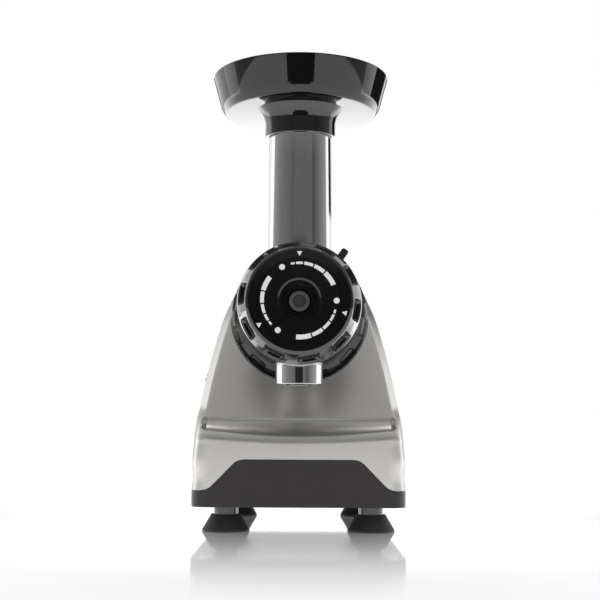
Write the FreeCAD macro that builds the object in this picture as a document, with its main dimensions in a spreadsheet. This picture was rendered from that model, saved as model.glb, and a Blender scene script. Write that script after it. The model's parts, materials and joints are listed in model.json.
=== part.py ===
import FreeCAD, Part
import math
import os
import re

import Sketcher
from fcgear import fcgear, involute

# Slow juicer, modelled in millimetres with +Z up.
# The dial faces -Y. The origin is on the table, under the middle of the machine's outer box.
# Depths in the sheet are measured rearwards from the front of the base.

os.makedirs("parts", exist_ok=True)
doc = FreeCAD.newDocument("slow_juicer")
sheet = doc.addObject("Spreadsheet::Sheet", "Sizes")

DRIVING = {
    "clearance": (0.3, "gap between pieces that fit together"),
    "running_fit": (0.05, "radial clearance of a shaft in its bearing"),
    # Body
    "body_length": (252, "rear face of the body behind the base front"),
    "base_half": (93, "half width where the shell meets the base"),
    "waist_taper": (6, "narrowing from the seam to the crease on each side"),
    "waist_height": (97, "height of the crease in the side walls"),
    "side_curve": (670, "radius of the side walls above the crease"),
    "crown_radius": (64, "radius of the rounded top"),
    "crown_drop": (3, "centre of the rounded top below the drum axis"),
    "shoulder_angle": (17, "where the side walls run into the rounded top"),
    "shell_wall": (3, "wall of the silver shell"),
    "lip_height": (80, "top of the upright apron"),
    "cove_depth": (15, "how far the panel's foot lies behind the apron"),
    "cove_height": (19, "rise from the apron to the panel's foot"),
    "cove_radius": (16, "radius of the hollow between apron and panel"),
    "panel_lean": (41.6, "how far the panel leans back over its height"),
    "tower_depth": (122, "rear end of the high front part of the roof"),
    "roof_slope": (24, "length of the slope behind the high part"),
    "roof_drop": (26, "low rear roof below the high roof"),
    "rear_roof_run": (34, "length of the sloping rear end of the roof"),
    "rear_roof_drop": (24, "fall of the sloping rear end of the roof"),
    # Base
    "foot_height": (22, "underside of the base above the table"),
    "base_height": (14.3, "height of the base pan"),
    "base_wall": (3, "wall and floor of the base pan"),
    "corner_radius": (14, "plan radius of the base pan's corners"),
    "arch_run": (37.6, "width of the arch's S-curve"),
    "arch_margin": (9, "arch's foot from the side of the base"),
    "arch_rise": (26.2, "height of the arch above the seam"),
    # Feet
    "foot_inset": (29.3, "middle of a foot from the side of the base"),
    "front_foot_depth": (29, "front feet"),
    "rear_foot_depth": (198, "rear feet"),
    "stem_radius": (10.7, "stem of a foot"),
    "stem_height": (7.5, "visible height of a stem"),
    "cone_top_radius": (13, "top of a rubber cone"),
    "cone_foot_radius": (20.7, "bottom of a rubber cone"),
    "foot_recess_radius": (7, "screw recess under a foot"),
    "foot_recess_depth": (8, "depth of that recess"),
    "foot_screw_radius": (2.2, "shank of a foot screw"),
    "foot_screw_head": (5, "head radius of a foot screw"),
    "foot_screw_head_height": (3, "head height of a foot screw"),
    # Drum line
    "axis_height": (191, "height of the drum and auger axis"),
    "dial_reach": (89, "dial face in front of the base front"),
    "socket_face": (40, "front face of the drum socket"),
    "mouth_radius": (60, "round mouth of the shell behind the lock ring"),
    "mouth_length": (26, "length of that mouth"),
    "ring_gap": (1.5, "gap round the lock ring in the shell's recess"),
    "socket_radius": (56, "outer radius of the drum socket"),
    "socket_rim": (3, "wall of the socket's rim round the drum flange"),
    "socket_rim_length": (5, "length of that rim"),
    "socket_plate": (6, "plate of the drum socket"),
    "hub_radius": (26, "hub of the drum socket"),
    "hub_length": (32, "length of that hub"),
    "ring_radius": (61, "outer radius of the lock ring"),
    "ring_lip": (5, "front lip of the lock ring"),
    "ring_bevel": (2, "bevel on the rims of lock ring and cap"),
    "ring_recess_radius": (9, "finger recess in the lock ring"),
    "ring_recess_count": (12, "finger recesses in the lock ring"),
    "ring_recess_depth": (3.2, "depth of those recesses"),
    "lever_angle": (35, "lock lever, clockwise from the top"),
    "lever_reach": (73.5, "end of the lock lever from the axis"),
    "lever_width": (7, "width of the lock lever"),
    "flange_radius": (52, "rear flange of the drum"),
    "flange_length": (7, "thickness of that flange"),
    "barrel_radius": (34, "outer radius of the drum"),
    "barrel_bore": (25, "bore of the drum round the screen"),
    "drum_front": (72, "front end of the drum before the base front"),
    "throat_bore": (22.4, "bore of the drum round the auger's rear"),
    "throat_start": (14, "step to the throat before the base front"),
    "drum_back_wall": (7, "rear wall of the drum"),
    "neck_radius": (9, "auger neck in the drum's rear wall"),
    # Chute, collar and hopper
    "chute_depth": (17.6, "chute axis before the base front"),
    "chute_top_half": (26.6, "half width of the chute at its top"),
    "chute_foot_half": (27.8, "half width of the chute at its foot"),
    "oval_ratio": (0.74, "depth of the chute's oval over its width"),
    "chute_rise": (35, "lower end of the chute tube above the drum axis"),
    "chute_top": (358, "upper end of the chute tube"),
    "chute_wall": (2.2, "wall of the chute tube"),
    "port_wall": (4, "wall of the drum's neck under the chute"),
    "collar_foot": (341, "lower end of the collar"),
    "collar_neck_half": (30.3, "half width of the collar's neck"),
    "collar_rim_half": (36.8, "half width of the collar's rim"),
    "collar_top": (367, "top of the collar"),
    "collar_flare": (14, "height of the collar's flare"),
    "collar_grip": (6, "how deep the hopper's neck sits in the collar"),
    "tray_offset": (40, "hopper centre behind the chute axis"),
    "tray_floor": (375, "underside of the hopper's floor"),
    "tray_rim": (405, "rim of the hopper"),
    "tray_rim_radius": (79, "rim radius of the hopper"),
    "tray_floor_radius": (60, "flat floor of the hopper"),
    "tray_knee_radius": (71.5, "hopper where its bend ends"),
    "tray_knee_rise": (7.5, "height of that bend above the floor"),
    "tray_bend": (14, "radius of that bend"),
    "tray_wall": (2.6, "wall of the hopper"),
    "boss_half": (31.5, "half width of the hopper's boss"),
    # Outlet
    "spout_depth": (35, "outlet axis before the base front"),
    "spout_radius": (19.5, "outer radius of the outlet sleeve"),
    "spout_wall": (1.6, "wall of the outlet sleeve"),
    "spout_fall": (65, "lower end of the outlet below the drum axis"),
    "spout_drop": (39, "upper end of the outlet sleeve below the drum axis"),
    "spout_bead": (0.8, "height of the bead round the outlet"),
    "bead_drop": (48, "bead of the outlet below the drum axis"),
    "outlet_wall": (3, "wall of the drum's outlet neck"),
    # Cap, dial and nozzle
    "cap_face_radius": (41, "front face of the cap"),
    "cap_radius": (51, "outer radius of the cap"),
    "cap_length": (31, "length of the cap"),
    "cap_cone": (24, "length of the cap's conical part"),
    "cap_wall": (15, "front wall of the cap"),
    "cap_recess_radius": (13, "radius of a finger recess in the cap"),
    "cap_recess_count": (10, "finger recesses in the cap"),
    "cap_recess_start": (26, "first finger recess, clockwise from the top"),
    "cap_recess_depth": (6, "depth of a finger recess"),
    "dial_radius": (33.5, "radius of the dial"),
    "dial_thick": (6, "thickness of the dial"),
    "mark_thick": (0.3, "thickness of the printed marks"),
    "bore_radius": (16, "hole in the middle of the dial"),
    "dial_bevel": (1.6, "bevel round the dial's hole"),
    "mark_radius": (29, "middle of the bars and dots"),
    "dot_radius": (2.4, "radius of a dot"),
    "bar_thin": (1, "radial thickness of a group's first bar"),
    "bar_thick": (4.8, "radial thickness of a group's last bar"),
    "pointer_radius": (37, "middle of a pointer"),
    "pointer_half": (2, "half size of a pointer"),
    "nozzle_lip": (3, "front rim of the nozzle behind the dial face"),
    "nozzle_floor": (9, "nozzle's floor behind the dial face"),
    "nozzle_wall": (2.2, "wall and floor of the nozzle"),
    "nozzle_bore": (9.6, "bore of the nozzle round the auger tip"),
    # Auger and screen
    "tip_radius": (8.2, "auger tip"),
    "tip_bore": (5.3, "hollow of the auger tip"),
    "tip_depth": (10, "auger tip behind the dial face"),
    "core_front": (60, "wide front end of the auger core before the base front"),
    "core_front_radius": (13, "auger core at its front"),
    "core_rear_radius": (9.5, "auger core at its rear"),
    "flight_radius": (21.6, "outer radius of the auger's flight"),
    "flight_pitch": (24, "pitch of the auger's flight"),
    "flight_rear": (20, "rear end of the flight behind the base front"),
    "flight_root": (4, "width of the flight at the core"),
    "flight_crest": (2, "width of the flight at its edge"),
    "seal_radius": (13, "outer radius of the shaft seals"),
    "seal_width": (3.5, "width of the shaft seals"),
    "gasket_wall": (6, "radial width of the cap gasket"),
    "screen_bore": (22.2, "bore of the screen frame"),
    "screen_wall": (2.3, "wall of the screen frame"),
    "screen_front": (70, "front end of the screen before the base front"),
    "screen_rear": (15, "rear end of the screen before the base front"),
    "mesh_half": (12, "half width of the screen's window"),
    "mesh_hole": (0.9, "radius of a hole in the juice screen"),
    "mesh_pitch": (4.4, "spacing of those holes"),
    "mesh_thick": (0.8, "thickness of the juice screen"),
    # Drive
    "drive_flat": (11.6, "drive hexagon across flats"),
    "drive_reach": (24, "front end of the drive hexagon behind the base front"),
    "shaft_radius": (8, "output shaft in its bearings"),
    "bearing_radius": (14, "outer radius of the output bearings"),
    "bearing_width": (8, "width of the output bearings"),
    "plate_front": (72, "front face of the front gearbox plate"),
    "plate_thick": (6, "thickness of a gearbox plate"),
    "plate_gap": (30, "space between the gearbox plates"),
    "plate_half": (55, "half width of a gearbox plate"),
    "plate_top_radius": (57, "rounded top of a gearbox plate"),
    "low_spacer_height": (60, "lower gearbox spacers"),
    "spacer_drop": (51, "upper gearbox spacers below the drum axis"),
    "pinion_teeth": (17, "teeth of both pinions"),
    "wheel_teeth": (68, "teeth of both wheels"),
    "slow_module": (1.25, "module of the output pair"),
    "fast_module": (1, "module of the motor pair"),
    "backlash": (0.2, "extra centre distance of each pair"),
    "wheel_width": (10, "width of the output gear"),
    "fast_width": (7, "width of the intermediate gear"),
    "wheel_start": (82, "front face of the output gear"),
    "fast_start": (95, "front face of the intermediate gear"),
    "pinion_margin": (1, "how far a pinion stands past its wheel"),
    "lay_radius": (5, "intermediate shaft"),
    "bush_radius": (8, "outer radius of a bush"),
    "spacer_radius": (6, "gearbox spacer"),
    "bolt_radius": (2.5, "gearbox and motor screws"),
    "bolt_head": (4.5, "head radius of those screws"),
    "bolt_head_height": (3, "head height of those screws"),
    # Motor
    "motor_shaft_radius": (4, "motor shaft"),
    "motor_radius": (42, "outer radius of the motor"),
    "motor_bolt_radius": (36.4, "motor bolts from the motor's axis"),
    "bell_length": (16, "length of a motor end bell"),
    "bell_wall": (3, "wall of an end bell"),
    "fan_room": (18, "gap between the fan and the power inlet"),
    "rotor_radius": (22, "radius of the rotor"),
    "air_gap": (0.6, "gap between rotor and stator"),
    "winding_length": (10, "how far a winding stands out of the core"),
    "motor_bearing_radius": (11, "outer radius of a motor bearing"),
    "motor_bearing_width": (7, "width of a motor bearing"),
    "fan_radius": (38, "radius of the cooling fan"),
    "fan_length": (12, "length of the cooling fan"),
    "fan_blades": (9, "blades of the cooling fan"),
    "fan_gap": (4, "gap between motor and fan"),
    "fan_plate": (2, "thickness of the fan's disc and blades"),
    "fan_hub": (9, "radius of the fan's hub"),
    # Rear, handle and electrics
    "cover_depth": (6, "rear cover's outer face before the rear end"),
    "cover_thick": (3, "thickness of the rear cover"),
    "vent_width": (60, "length of a vent slot"),
    "vent_height": (3, "height of a vent slot"),
    "vent_pitch": (8, "spacing of the vent slots"),
    "vent_count": (9, "number of vent slots"),
    "vent_foot": (92, "lowest vent slot"),
    "handle_half": (13, "half width of the carry handle"),
    "handle_lift": (10, "top of the carry handle above the roof"),
    "handle_thick": (12, "thickness of the carry handle"),
    "handle_margin": (4, "carry handle in front of the roof's rear slope"),
    "screw_radius": (2, "shank of the housing screws"),
    "screw_head": (3.8, "head radius of the housing screws"),
    "screw_head_height": (2.4, "head height of the housing screws"),
    "screw_bite": (9, "length of a screw in the piece it holds"),
    "boss_radius": (6, "screw bosses of base and shell"),
    "boss_height": (14, "height of the shell's screw bosses"),
    "base_screw_inset": (10, "base screws from the side of the base"),
    "base_screw_margin": (16, "base screws from the body's two ends"),
    "handle_foot": (26, "length of the handle's front foot"),
    "handle_bend": (9, "corners of the handle"),
    "switch_depth": (97, "switch behind the base front"),
    "switch_height": (125, "height of the switch"),
    "switch_half_width": (8, "half width of the rocker"),
    "switch_half_height": (12, "half height of the rocker"),
    "switch_rim": (3, "rim of the switch bezel"),
    "switch_box": (20, "depth of the switch body"),
    "switch_bezel_depth": (10, "depth of the bezel"),
    "rocker_pivot": (3, "rocker's pivot behind the bezel's face"),
    "rocker_thick": (9, "thickness of the rocker"),
    "rocker_play": (1, "gap above and below the rocker"),
    "pivot_radius": (1.6, "pins that the rocker turns on"),
    "pivot_bite": (1.5, "how far a pin reaches into the bezel"),
    "inlet_height": (58, "height of the power inlet"),
    "inlet_half_width": (14, "half width of the power inlet"),
    "inlet_half_height": (10, "half height of the power inlet"),
    "inlet_box": (22, "depth of the power inlet"),
    "inlet_flange": (2, "flange and wall of the power inlet"),
    "board_half": (32, "half width of the circuit board"),
    "board_depth": (10, "front edge of the circuit board"),
    "board_length": (56, "length of the circuit board"),
    "board_thick": (1.6, "thickness of the circuit board"),
    "board_post": (5, "posts under the circuit board"),
    "capacitor_radius": (8.5, "radius of the run capacitor"),
    "pin_radius": (1.6, "contact pin of the power inlet"),
}

# Sizes that follow from the driving ones, in the order in which they need each other
FOLLOWING = {
    "waist_half": ("base_half - waist_taper", "half width at the crease"),
    "switch_face": ("waist_half", "outer face of the switch bezel from the middle"),
    "arch_foot_half": ("base_half - arch_margin", "half width of the arch's foot"),
    "arch_top_half": ("arch_foot_half - arch_run", "half width of the arch's flat top"),
    "foot_spread": ("base_half - foot_inset", "feet left and right of the middle"),
    "base_screw_across": ("base_half - base_screw_inset", "base screws left and right of the middle"),
    "crown_centre": ("axis_height - crown_drop", "height of the centre of the rounded top"),
    "roof_height": ("crown_centre + crown_radius - roof_drop", "height of the low rear roof"),
    "handle_rise": ("crown_centre + crown_radius + handle_lift", "top of the carry handle"),
    "handle_rear": ("body_length - rear_roof_run - handle_margin", "rear end of the carry handle"),
    "chute_foot": ("axis_height + chute_rise", "lower end of the chute tube"),
    "spout_foot": ("axis_height - spout_fall", "lower end of the outlet"),
    "spout_top": ("axis_height - spout_drop", "upper end of the outlet sleeve"),
    "spout_bead_height": ("axis_height - bead_drop", "bead of the outlet above the table"),
    "high_spacer_height": ("axis_height - spacer_drop", "upper gearbox spacers"),
    "stack_length": ("body_length - cover_depth - inlet_box - fan_room - fan_length - fan_gap"
                     " - bell_length * 2 - plate_front - plate_thick * 2 - plate_gap",
                     "length of the stator core"),
}

ROWS = [(alias, str(number), meaning) for alias, (number, meaning) in DRIVING.items()]
ROWS += [(alias, "=" + formula, meaning) for alias, (formula, meaning) in FOLLOWING.items()]
ALIASES = {alias for alias, content, meaning in ROWS}
for row, (alias, content, meaning) in enumerate(ROWS, start=1):
    sheet.set("A%d" % row, alias)
    sheet.set("B%d" % row, content)
    sheet.set("C%d" % row, meaning)
    sheet.setAlias("B%d" % row, alias)
doc.recompute()

# Places that follow from the driving sizes
MIDDLE = "(body_length - dial_reach) / 2"
SEAM = "(foot_height + base_height)"
PANEL_FOOT = "(lip_height + cove_height)"
CROWN_TOP = "(crown_centre + crown_radius)"
LAY_HEIGHT = "(axis_height - slow_module * (pinion_teeth + wheel_teeth) / 2 - backlash)"
MOTOR_HEIGHT = "(%s - fast_module * (pinion_teeth + wheel_teeth) / 2 - backlash)" % LAY_HEIGHT
REAR_PLATE = "(plate_front + plate_thick + plate_gap)"
MOTOR_FRONT = "(%s + plate_thick)" % REAR_PLATE
CORE_FRONT = "(%s + bell_length)" % MOTOR_FRONT
CORE_REAR = "(%s + stack_length)" % CORE_FRONT
MOTOR_REAR = "(%s + bell_length)" % CORE_REAR
FLANGE_REAR = "(socket_face - clearance)"
FLANGE_FRONT = "(%s - flange_length)" % FLANGE_REAR
RING_FRONT = "(%s - clearance - ring_lip)" % FLANGE_FRONT
FACE = "(mark_thick - dial_reach)"
CAP_REAR = "(cap_length - dial_reach)"
CAP_WALL_REAR = "(cap_wall - dial_reach)"
NOZZLE_FRONT = "(nozzle_floor - dial_reach)"
TIP_FRONT = "(tip_depth - dial_reach)"
COVER_REAR = "(body_length - cover_depth)"
HOPPER_DEPTH = "(tray_offset - chute_depth)"

V = FreeCAD.Vector
X_AXIS, Y_AXIS, Z_AXIS = V(1, 0, 0), V(0, 1, 0), V(0, 0, 1)


def bound(text):
    """The expression with every named size looked up in the sheet."""
    return re.sub(r"[a-z_]+", lambda found: ("Sizes." if found.group(0) in ALIASES else "") + found.group(0),
                  str(text))


def size(text):
    return float(sheet.evalExpression(bound(text)))


def tie(thing, path, text):
    """Bind one property of an object to an expression of driving sizes."""
    thing.setExpression(path, bound(text))


def minus(text):
    return "-(%s)" % text


def place(thing, across="0", depth="0", height="0"):
    """Put an object in the machine; its depth counts from the base front."""
    tie(thing, ".Placement.Base.x", across)
    tie(thing, ".Placement.Base.y", "%s - %s" % (depth, MIDDLE))
    tie(thing, ".Placement.Base.z", height)
    return thing


def new_body(label, across="0", depth="0", height="0"):
    body = doc.addObject("PartDesign::Body", label)
    body.Label = label
    return place(body, across, depth, height)


def new_sketch(body, name, plane, offset="0"):
    """A sketch on one of the body's own origin planes, moved along that plane's normal."""
    sketch = body.newObject("Sketcher::SketchObject", name)
    support = [item for item in body.Origin.OriginFeatures if item.Role == plane][0]
    sketch.AttachmentSupport = (support, [""])
    sketch.MapMode = "FlatFace"
    if offset != "0":
        tie(sketch, ".AttachmentOffset.Base.z", offset)
    return sketch


def pin_vertex(sketch, geometry, end, across, up):
    """Fix one vertex to two bound distances from the sketch's origin."""
    for kind, text in (("DistanceX", across), ("DistanceY", up)):
        index = sketch.addConstraint(Sketcher.Constraint(kind, -1, 1, geometry, end, size(text)))
        tie(sketch, "Constraints[%d]" % index, text)


def add_loop(sketch, points):
    """A closed outline. A point is (across, up); a third entry is the radius of the arc that leads
    on from it, whose sign says on which side of the chord the arc bulges (positive to the right)."""
    first = sketch.GeometryCount
    spots = [V(size(point[0]), size(point[1]), 0) for point in points]
    count = len(points)
    for index, point in enumerate(points):
        start, end = spots[index], spots[(index + 1) % count]
        if len(point) == 2:
            sketch.addGeometry(Part.LineSegment(start, end), False)
            continue
        radius = size(point[2])
        chord = end - start
        side = V(chord.y, -chord.x, 0).normalize() * math.copysign(1, radius)
        rise = abs(radius) - math.sqrt(max(radius ** 2 - chord.Length ** 2 / 4, 0))
        sketch.addGeometry(Part.Arc(start, (start + end) / 2 + side * rise, end), False)
    for index, point in enumerate(points):
        here, following = first + index, first + (index + 1) % count
        pin_vertex(sketch, here, end_of(sketch, here, spots[index]), point[0], point[1])
        meeting = spots[(index + 1) % count]
        ends = (end_of(sketch, here, meeting), end_of(sketch, following, meeting))
        sketch.addConstraint(Sketcher.Constraint("Coincident", here, ends[0], following, ends[1]))
        if len(point) == 3:
            radius = sketch.addConstraint(Sketcher.Constraint("Radius", here, abs(size(point[2]))))
            tie(sketch, "Constraints[%d]" % radius, "abs(%s)" % point[2])


def end_of(sketch, geometry, spot):
    """Which end of a sketched edge lies at a spot, 1 for its start and 2 for its end."""
    return 1 if (sketch.getPoint(geometry, 1) - spot).Length < 0.0001 else 2


def add_circle(sketch, radius, across="0", up="0"):
    index = sketch.GeometryCount
    sketch.addGeometry(Part.Circle(V(size(across), size(up), 0), Z_AXIS, size(radius)), False)
    pin_vertex(sketch, index, 3, across, up)
    bound_radius = sketch.addConstraint(Sketcher.Constraint("Radius", index, size(radius)))
    tie(sketch, "Constraints[%d]" % bound_radius, radius)


def rectangle(half_width, low, high):
    return [(minus(half_width), low), (half_width, low), (half_width, high), (minus(half_width), high)]


def hexagon(flats):
    corner = "(%s) / sqrt(3)" % flats
    half = "(%s) / 2" % flats
    return [(corner, "0"), ("%s / 2" % corner, half), ("-%s / 2" % corner, half),
            ("-%s" % corner, "0"), ("-%s / 2" % corner, minus(half)), ("%s / 2" % corner, minus(half))]


def feature(body, kind, sketch, **settings):
    """Add a sketch-based feature; text settings are bound, the others are set."""
    item = body.newObject("PartDesign::" + kind, "%s_%s" % (sketch.Name, kind.lower()))
    item.Profile = sketch
    for name, setting in settings.items():
        if isinstance(setting, str):
            tie(item, name, setting)
        else:
            setattr(item, name, setting)
    return item


# A turned piece is a profile of (along, radius) points round the Y axis,
# or of (radius, along) points round the Z axis.
SPIN = {"Y": ("YZ_Plane", "H_Axis"), "Z": ("XZ_Plane", "V_Axis")}


def turn(body, name, axis, points, cut=False):
    plane, reference = SPIN[axis]
    sketch = new_sketch(body, name, plane)
    add_loop(sketch, points)
    return feature(body, "Groove" if cut else "Revolution", sketch,
                   ReferenceAxis=(sketch, [reference]), Angle=360.0)


def tube_profile(start, end, outer, inner):
    """A plain sleeve round the Y axis."""
    return [(start, inner), (end, inner), (end, outer), (start, outer)]


def upright_profile(low, high, outer, inner):
    """A plain sleeve round the Z axis."""
    return [(inner, low), (outer, low), (outer, high), (inner, high)]


def pad(body, name, plane, loops, length, start="0", cut=False, **settings):
    """Pad or pocket outlines from a plane that lies at start, along +X, +Y or +Z."""
    reverse = plane == "XZ_Plane"
    sketch = new_sketch(body, name, plane, minus(start) if reverse else start)
    for loop in loops:
        if loop[0] == "circle":
            add_circle(sketch, *loop[1:])
        else:
            add_loop(sketch, loop)
    # A pocket cuts against its sketch's normal unless it is reversed.
    settings.setdefault("Reversed", reverse != cut)
    return feature(body, "Pocket" if cut else "Pad", sketch, Length=length, **settings)


def spread(body, original, axis, count, name, angle="360"):
    """Repeat a feature round one of the body's axes."""
    pattern = body.newObject("PartDesign::PolarPattern", name)
    pattern.Originals = [original]
    pattern.Axis = ([item for item in body.Origin.OriginFeatures if item.Role == axis][0], [""])
    tie(pattern, "Angle", angle)
    tie(pattern, "Occurrences", count)
    body.Tip = pattern
    return pattern


def soften(body, kind, length, choose):
    """Fillet or chamfer the tip's edges that the test chooses."""
    doc.recompute()
    base = body.Tip
    names = ["Edge%d" % (index + 1) for index, edge in enumerate(base.Shape.Edges) if choose(edge)]
    item = body.newObject("PartDesign::" + kind, "%s_%s" % (body.Name, kind.lower()))
    item.Base = (base, names)
    tie(item, "Radius" if kind == "Fillet" else "Size", length)
    return item


def combine(label, kind, *things):
    """A boolean of whole objects, which takes the place of its own two or more operands."""
    result = doc.addObject("Part::" + kind, label)
    result.Label = label
    if kind in ("MultiFuse", "MultiCommon"):
        result.Shapes = list(things)
    else:
        result.Base, result.Tool = things
    return result


def upright_edge(edge):
    """True for a straight edge along Z."""
    return edge.Curve.TypeId == "Part::GeomLine" and abs(edge.tangentAt(edge.FirstParameter).z) > 0.999


def plan_block(name, inset, low, high, beyond):
    """The machine's footprint with rounded corners, as a block from low to high."""
    block = new_body(name)
    footprint = [(minus("base_half - %s" % inset), inset), ("base_half - %s" % inset, inset),
                 ("base_half - %s" % inset, "body_length + %s" % beyond),
                 (minus("base_half - %s" % inset), "body_length + %s" % beyond)]
    pad(block, name + "_footprint", "XY_Plane", [footprint], "(%s) - (%s)" % (high, low), start=low)
    soften(block, "Fillet", "corner_radius - %s" % inset, upright_edge)
    return block


def shell_form(name, inset, low, beyond):
    """The body's outer form, moved inwards by inset: a front outline crossed with a side outline."""
    crown = "(crown_radius - %s)" % inset
    shoulder_across = "%s * cos(shoulder_angle)" % crown
    shoulder_up = "crown_centre + %s * sin(shoulder_angle)" % crown
    spread_below = "(%s - (%s)) * (base_half - waist_half) / (waist_height - %s)" % (SEAM, low, SEAM)
    front = [("base_half - %s + %s" % (inset, spread_below), low),
             ("waist_half - %s" % inset, "waist_height", "side_curve"),
             (shoulder_across, shoulder_up, crown),
             (minus(shoulder_across), shoulder_up, "side_curve"),
             ("%s - waist_half" % inset, "waist_height"),
             ("%s - base_half - %s" % (inset, spread_below), low)]
    roof = "roof_height - %s" % inset
    side = [(inset, low),
            (inset, "lip_height - %s" % inset, "cove_radius"),
            ("cove_depth + %s" % inset, PANEL_FOOT),
            ("cove_depth + panel_lean + %s" % inset, CROWN_TOP),
            ("tower_depth - %s" % inset, CROWN_TOP),
            ("tower_depth + roof_slope - %s" % inset, roof),
            ("body_length - rear_roof_run - %s" % inset, roof),
            ("body_length + %s" % beyond, "%s - rear_roof_drop" % roof),
            ("body_length + %s" % beyond, low)]
    from_front = new_body(name + "_from_front")
    pad(from_front, name + "_front_outline", "XZ_Plane", [front], "body_length * 2", start="-body_length / 2")
    from_side = new_body(name + "_from_side")
    pad(from_side, name + "_side_outline", "YZ_Plane", [side], "base_half * 4", Midplane=True)
    from_above = plan_block(name + "_from_above", inset, "0", CROWN_TOP, beyond)
    return combine(name, "MultiCommon", from_front, from_side, from_above)


def drum_line_disc(name, start, end, radius):
    """A plain disc on the drum axis, used to cut the housing."""
    body = new_body(name, height="axis_height")
    turn(body, name + "_profile", "Y", [(start, "0"), (end, "0"), (end, radius), (start, radius)])
    return body


def arch_outline(gap):
    """The arch of the black base: a flat top with an S-curve down each side."""
    bend = "((arch_foot_half - arch_top_half - arch_rise) / (2 * sqrt(2) - 2))"
    across = "%s / sqrt(2)" % bend
    drop = "%s * (1 - 1 / sqrt(2))" % bend
    top = "%s + arch_rise + %s" % (SEAM, gap)
    foot = "%s + %s" % (SEAM, gap)
    half = [("arch_foot_half + %s" % gap, "%s - base_wall" % SEAM),
            ("arch_foot_half + %s" % gap, foot, minus(bend)),
            ("arch_foot_half + %s - %s" % (gap, across), "%s + %s" % (foot, drop)),
            ("arch_top_half + %s + %s" % (gap, across), "%s - %s" % (top, drop), bend),
            ("arch_top_half + %s" % gap, top)]
    mirrored = [("-(%s)" % spot[0], spot[1]) for spot in reversed(half)]
    mirrored[0] += (bend,)
    mirrored[2] += (minus(bend),)
    return half + mirrored


def housing_shell():
    outer = shell_form("outer_form", "0", SEAM, "0")
    inner = shell_form("inner_form", "shell_wall", "foot_height", "shell_wall")
    mouth = drum_line_disc("mouth", "socket_face", "socket_face + mouth_length", "mouth_radius")
    recess = drum_line_disc("recess", "-body_length", "socket_face", "ring_radius + ring_gap")
    plug = drum_line_disc("plug", "-body_length", "socket_face + shell_wall",
                          "ring_radius + ring_gap + shell_wall")
    hollow = drum_line_disc("mouth_hollow", "socket_face + shell_wall", "socket_face + mouth_length * 2",
                            "mouth_radius - shell_wall")
    hole = drum_line_disc("socket_hole", "0", "socket_face + mouth_length", "socket_radius + clearance")
    arch = new_body("arch_cutter")
    pad(arch, "arch_opening", "XZ_Plane", [arch_outline("clearance")], "shell_wall * 4", start="-shell_wall")
    switch = new_body("switch_cutter", height="switch_height")
    opening = rectangle("switch_half_height + switch_rim", "switch_depth - switch_half_width - switch_rim",
                        "switch_depth + switch_half_width + switch_rim")
    pad(switch, "switch_opening", "XY_Plane", [[(minus("base_half"), opening[0][1]), ("0", opening[1][1]),
                                               ("0", opening[2][1]), (minus("base_half"), opening[3][1])]],
        "(switch_half_height + switch_rim) * 2", Midplane=True)
    cavity = combine("cavity", "Cut", inner, plug)
    hollows = combine("shell_hollows", "MultiFuse", recess, cavity, hollow, hole, arch, switch)
    walls = combine("shell_walls", "Cut", combine("shell_solid", "MultiFuse", outer, mouth), hollows)
    bosses = combine("shell_bosses", "MultiCommon", outer, group("boss_rods", shell_boss_rods()))
    bossed = combine("bossed_shell", "MultiFuse", walls, bosses)
    tools = group("shell_screw_holes", shell_screw_holes())
    return combine("housing_shell", "Cut", bossed, tools)


def group(label, bodies):
    """Several like solids that share one node."""
    result = doc.addObject("Part::Compound", label)
    result.Label = label
    result.Links = bodies
    return result


def upright_rod(name, across, depth, low, high, radius):
    rod = new_body(name, across, depth)
    pad(rod, name + "_circle", "XY_Plane", [("circle", radius)], "(%s) - (%s)" % (high, low), start=low)
    return rod


BASE_SCREWS = [("%s * base_screw_across" % side, depth)
               for side in ("1", "-1") for depth in ("base_screw_margin", "body_length - base_screw_margin")]
FEET = [("%s * foot_spread" % side, depth)
        for side in ("1", "-1") for depth in ("front_foot_depth", "rear_foot_depth")]
# Each handle screw has its depth and the height of the roof's outer face there.
HANDLE_SCREWS = [("tower_depth - handle_foot / 2 - shell_wall", CROWN_TOP),
                 ("handle_rear - handle_thick / 2", "roof_height")]


def shell_boss_rods():
    return [upright_rod("shell_boss_%d" % index, across, depth, SEAM, "%s + boss_height" % SEAM,
                        "boss_radius")
            for index, (across, depth) in enumerate(BASE_SCREWS)]


def shell_screw_holes():
    holes = [upright_rod("base_screw_hole_%d" % index, across, depth, "foot_height", "%s + screw_bite" % SEAM,
                         "screw_radius + running_fit")
             for index, (across, depth) in enumerate(BASE_SCREWS)]
    holes += [upright_rod("handle_screw_hole_%d" % index, "0", depth, "%s - shell_wall * 2" % roof,
                          "%s + shell_wall" % roof, "screw_radius + running_fit")
              for index, (depth, roof) in enumerate(HANDLE_SCREWS)]
    return holes


def upright_screws(label, places, length, shank, head, head_height):
    """Screws driven upwards: each place is (across, depth, height of the underside of its head)."""
    screws = []
    for index, (across, depth, seat) in enumerate(places):
        screw = new_body("%s_%d" % (label, index), across, depth, seat)
        turn(screw, "%s_%d_profile" % (label, index), "Z",
             [("0", minus(head_height)), (head, minus(head_height)), (head, "0"), (shank, "0"),
              (shank, length), ("0", length)])
        screws.append(screw)
    return group(label, screws)


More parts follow.
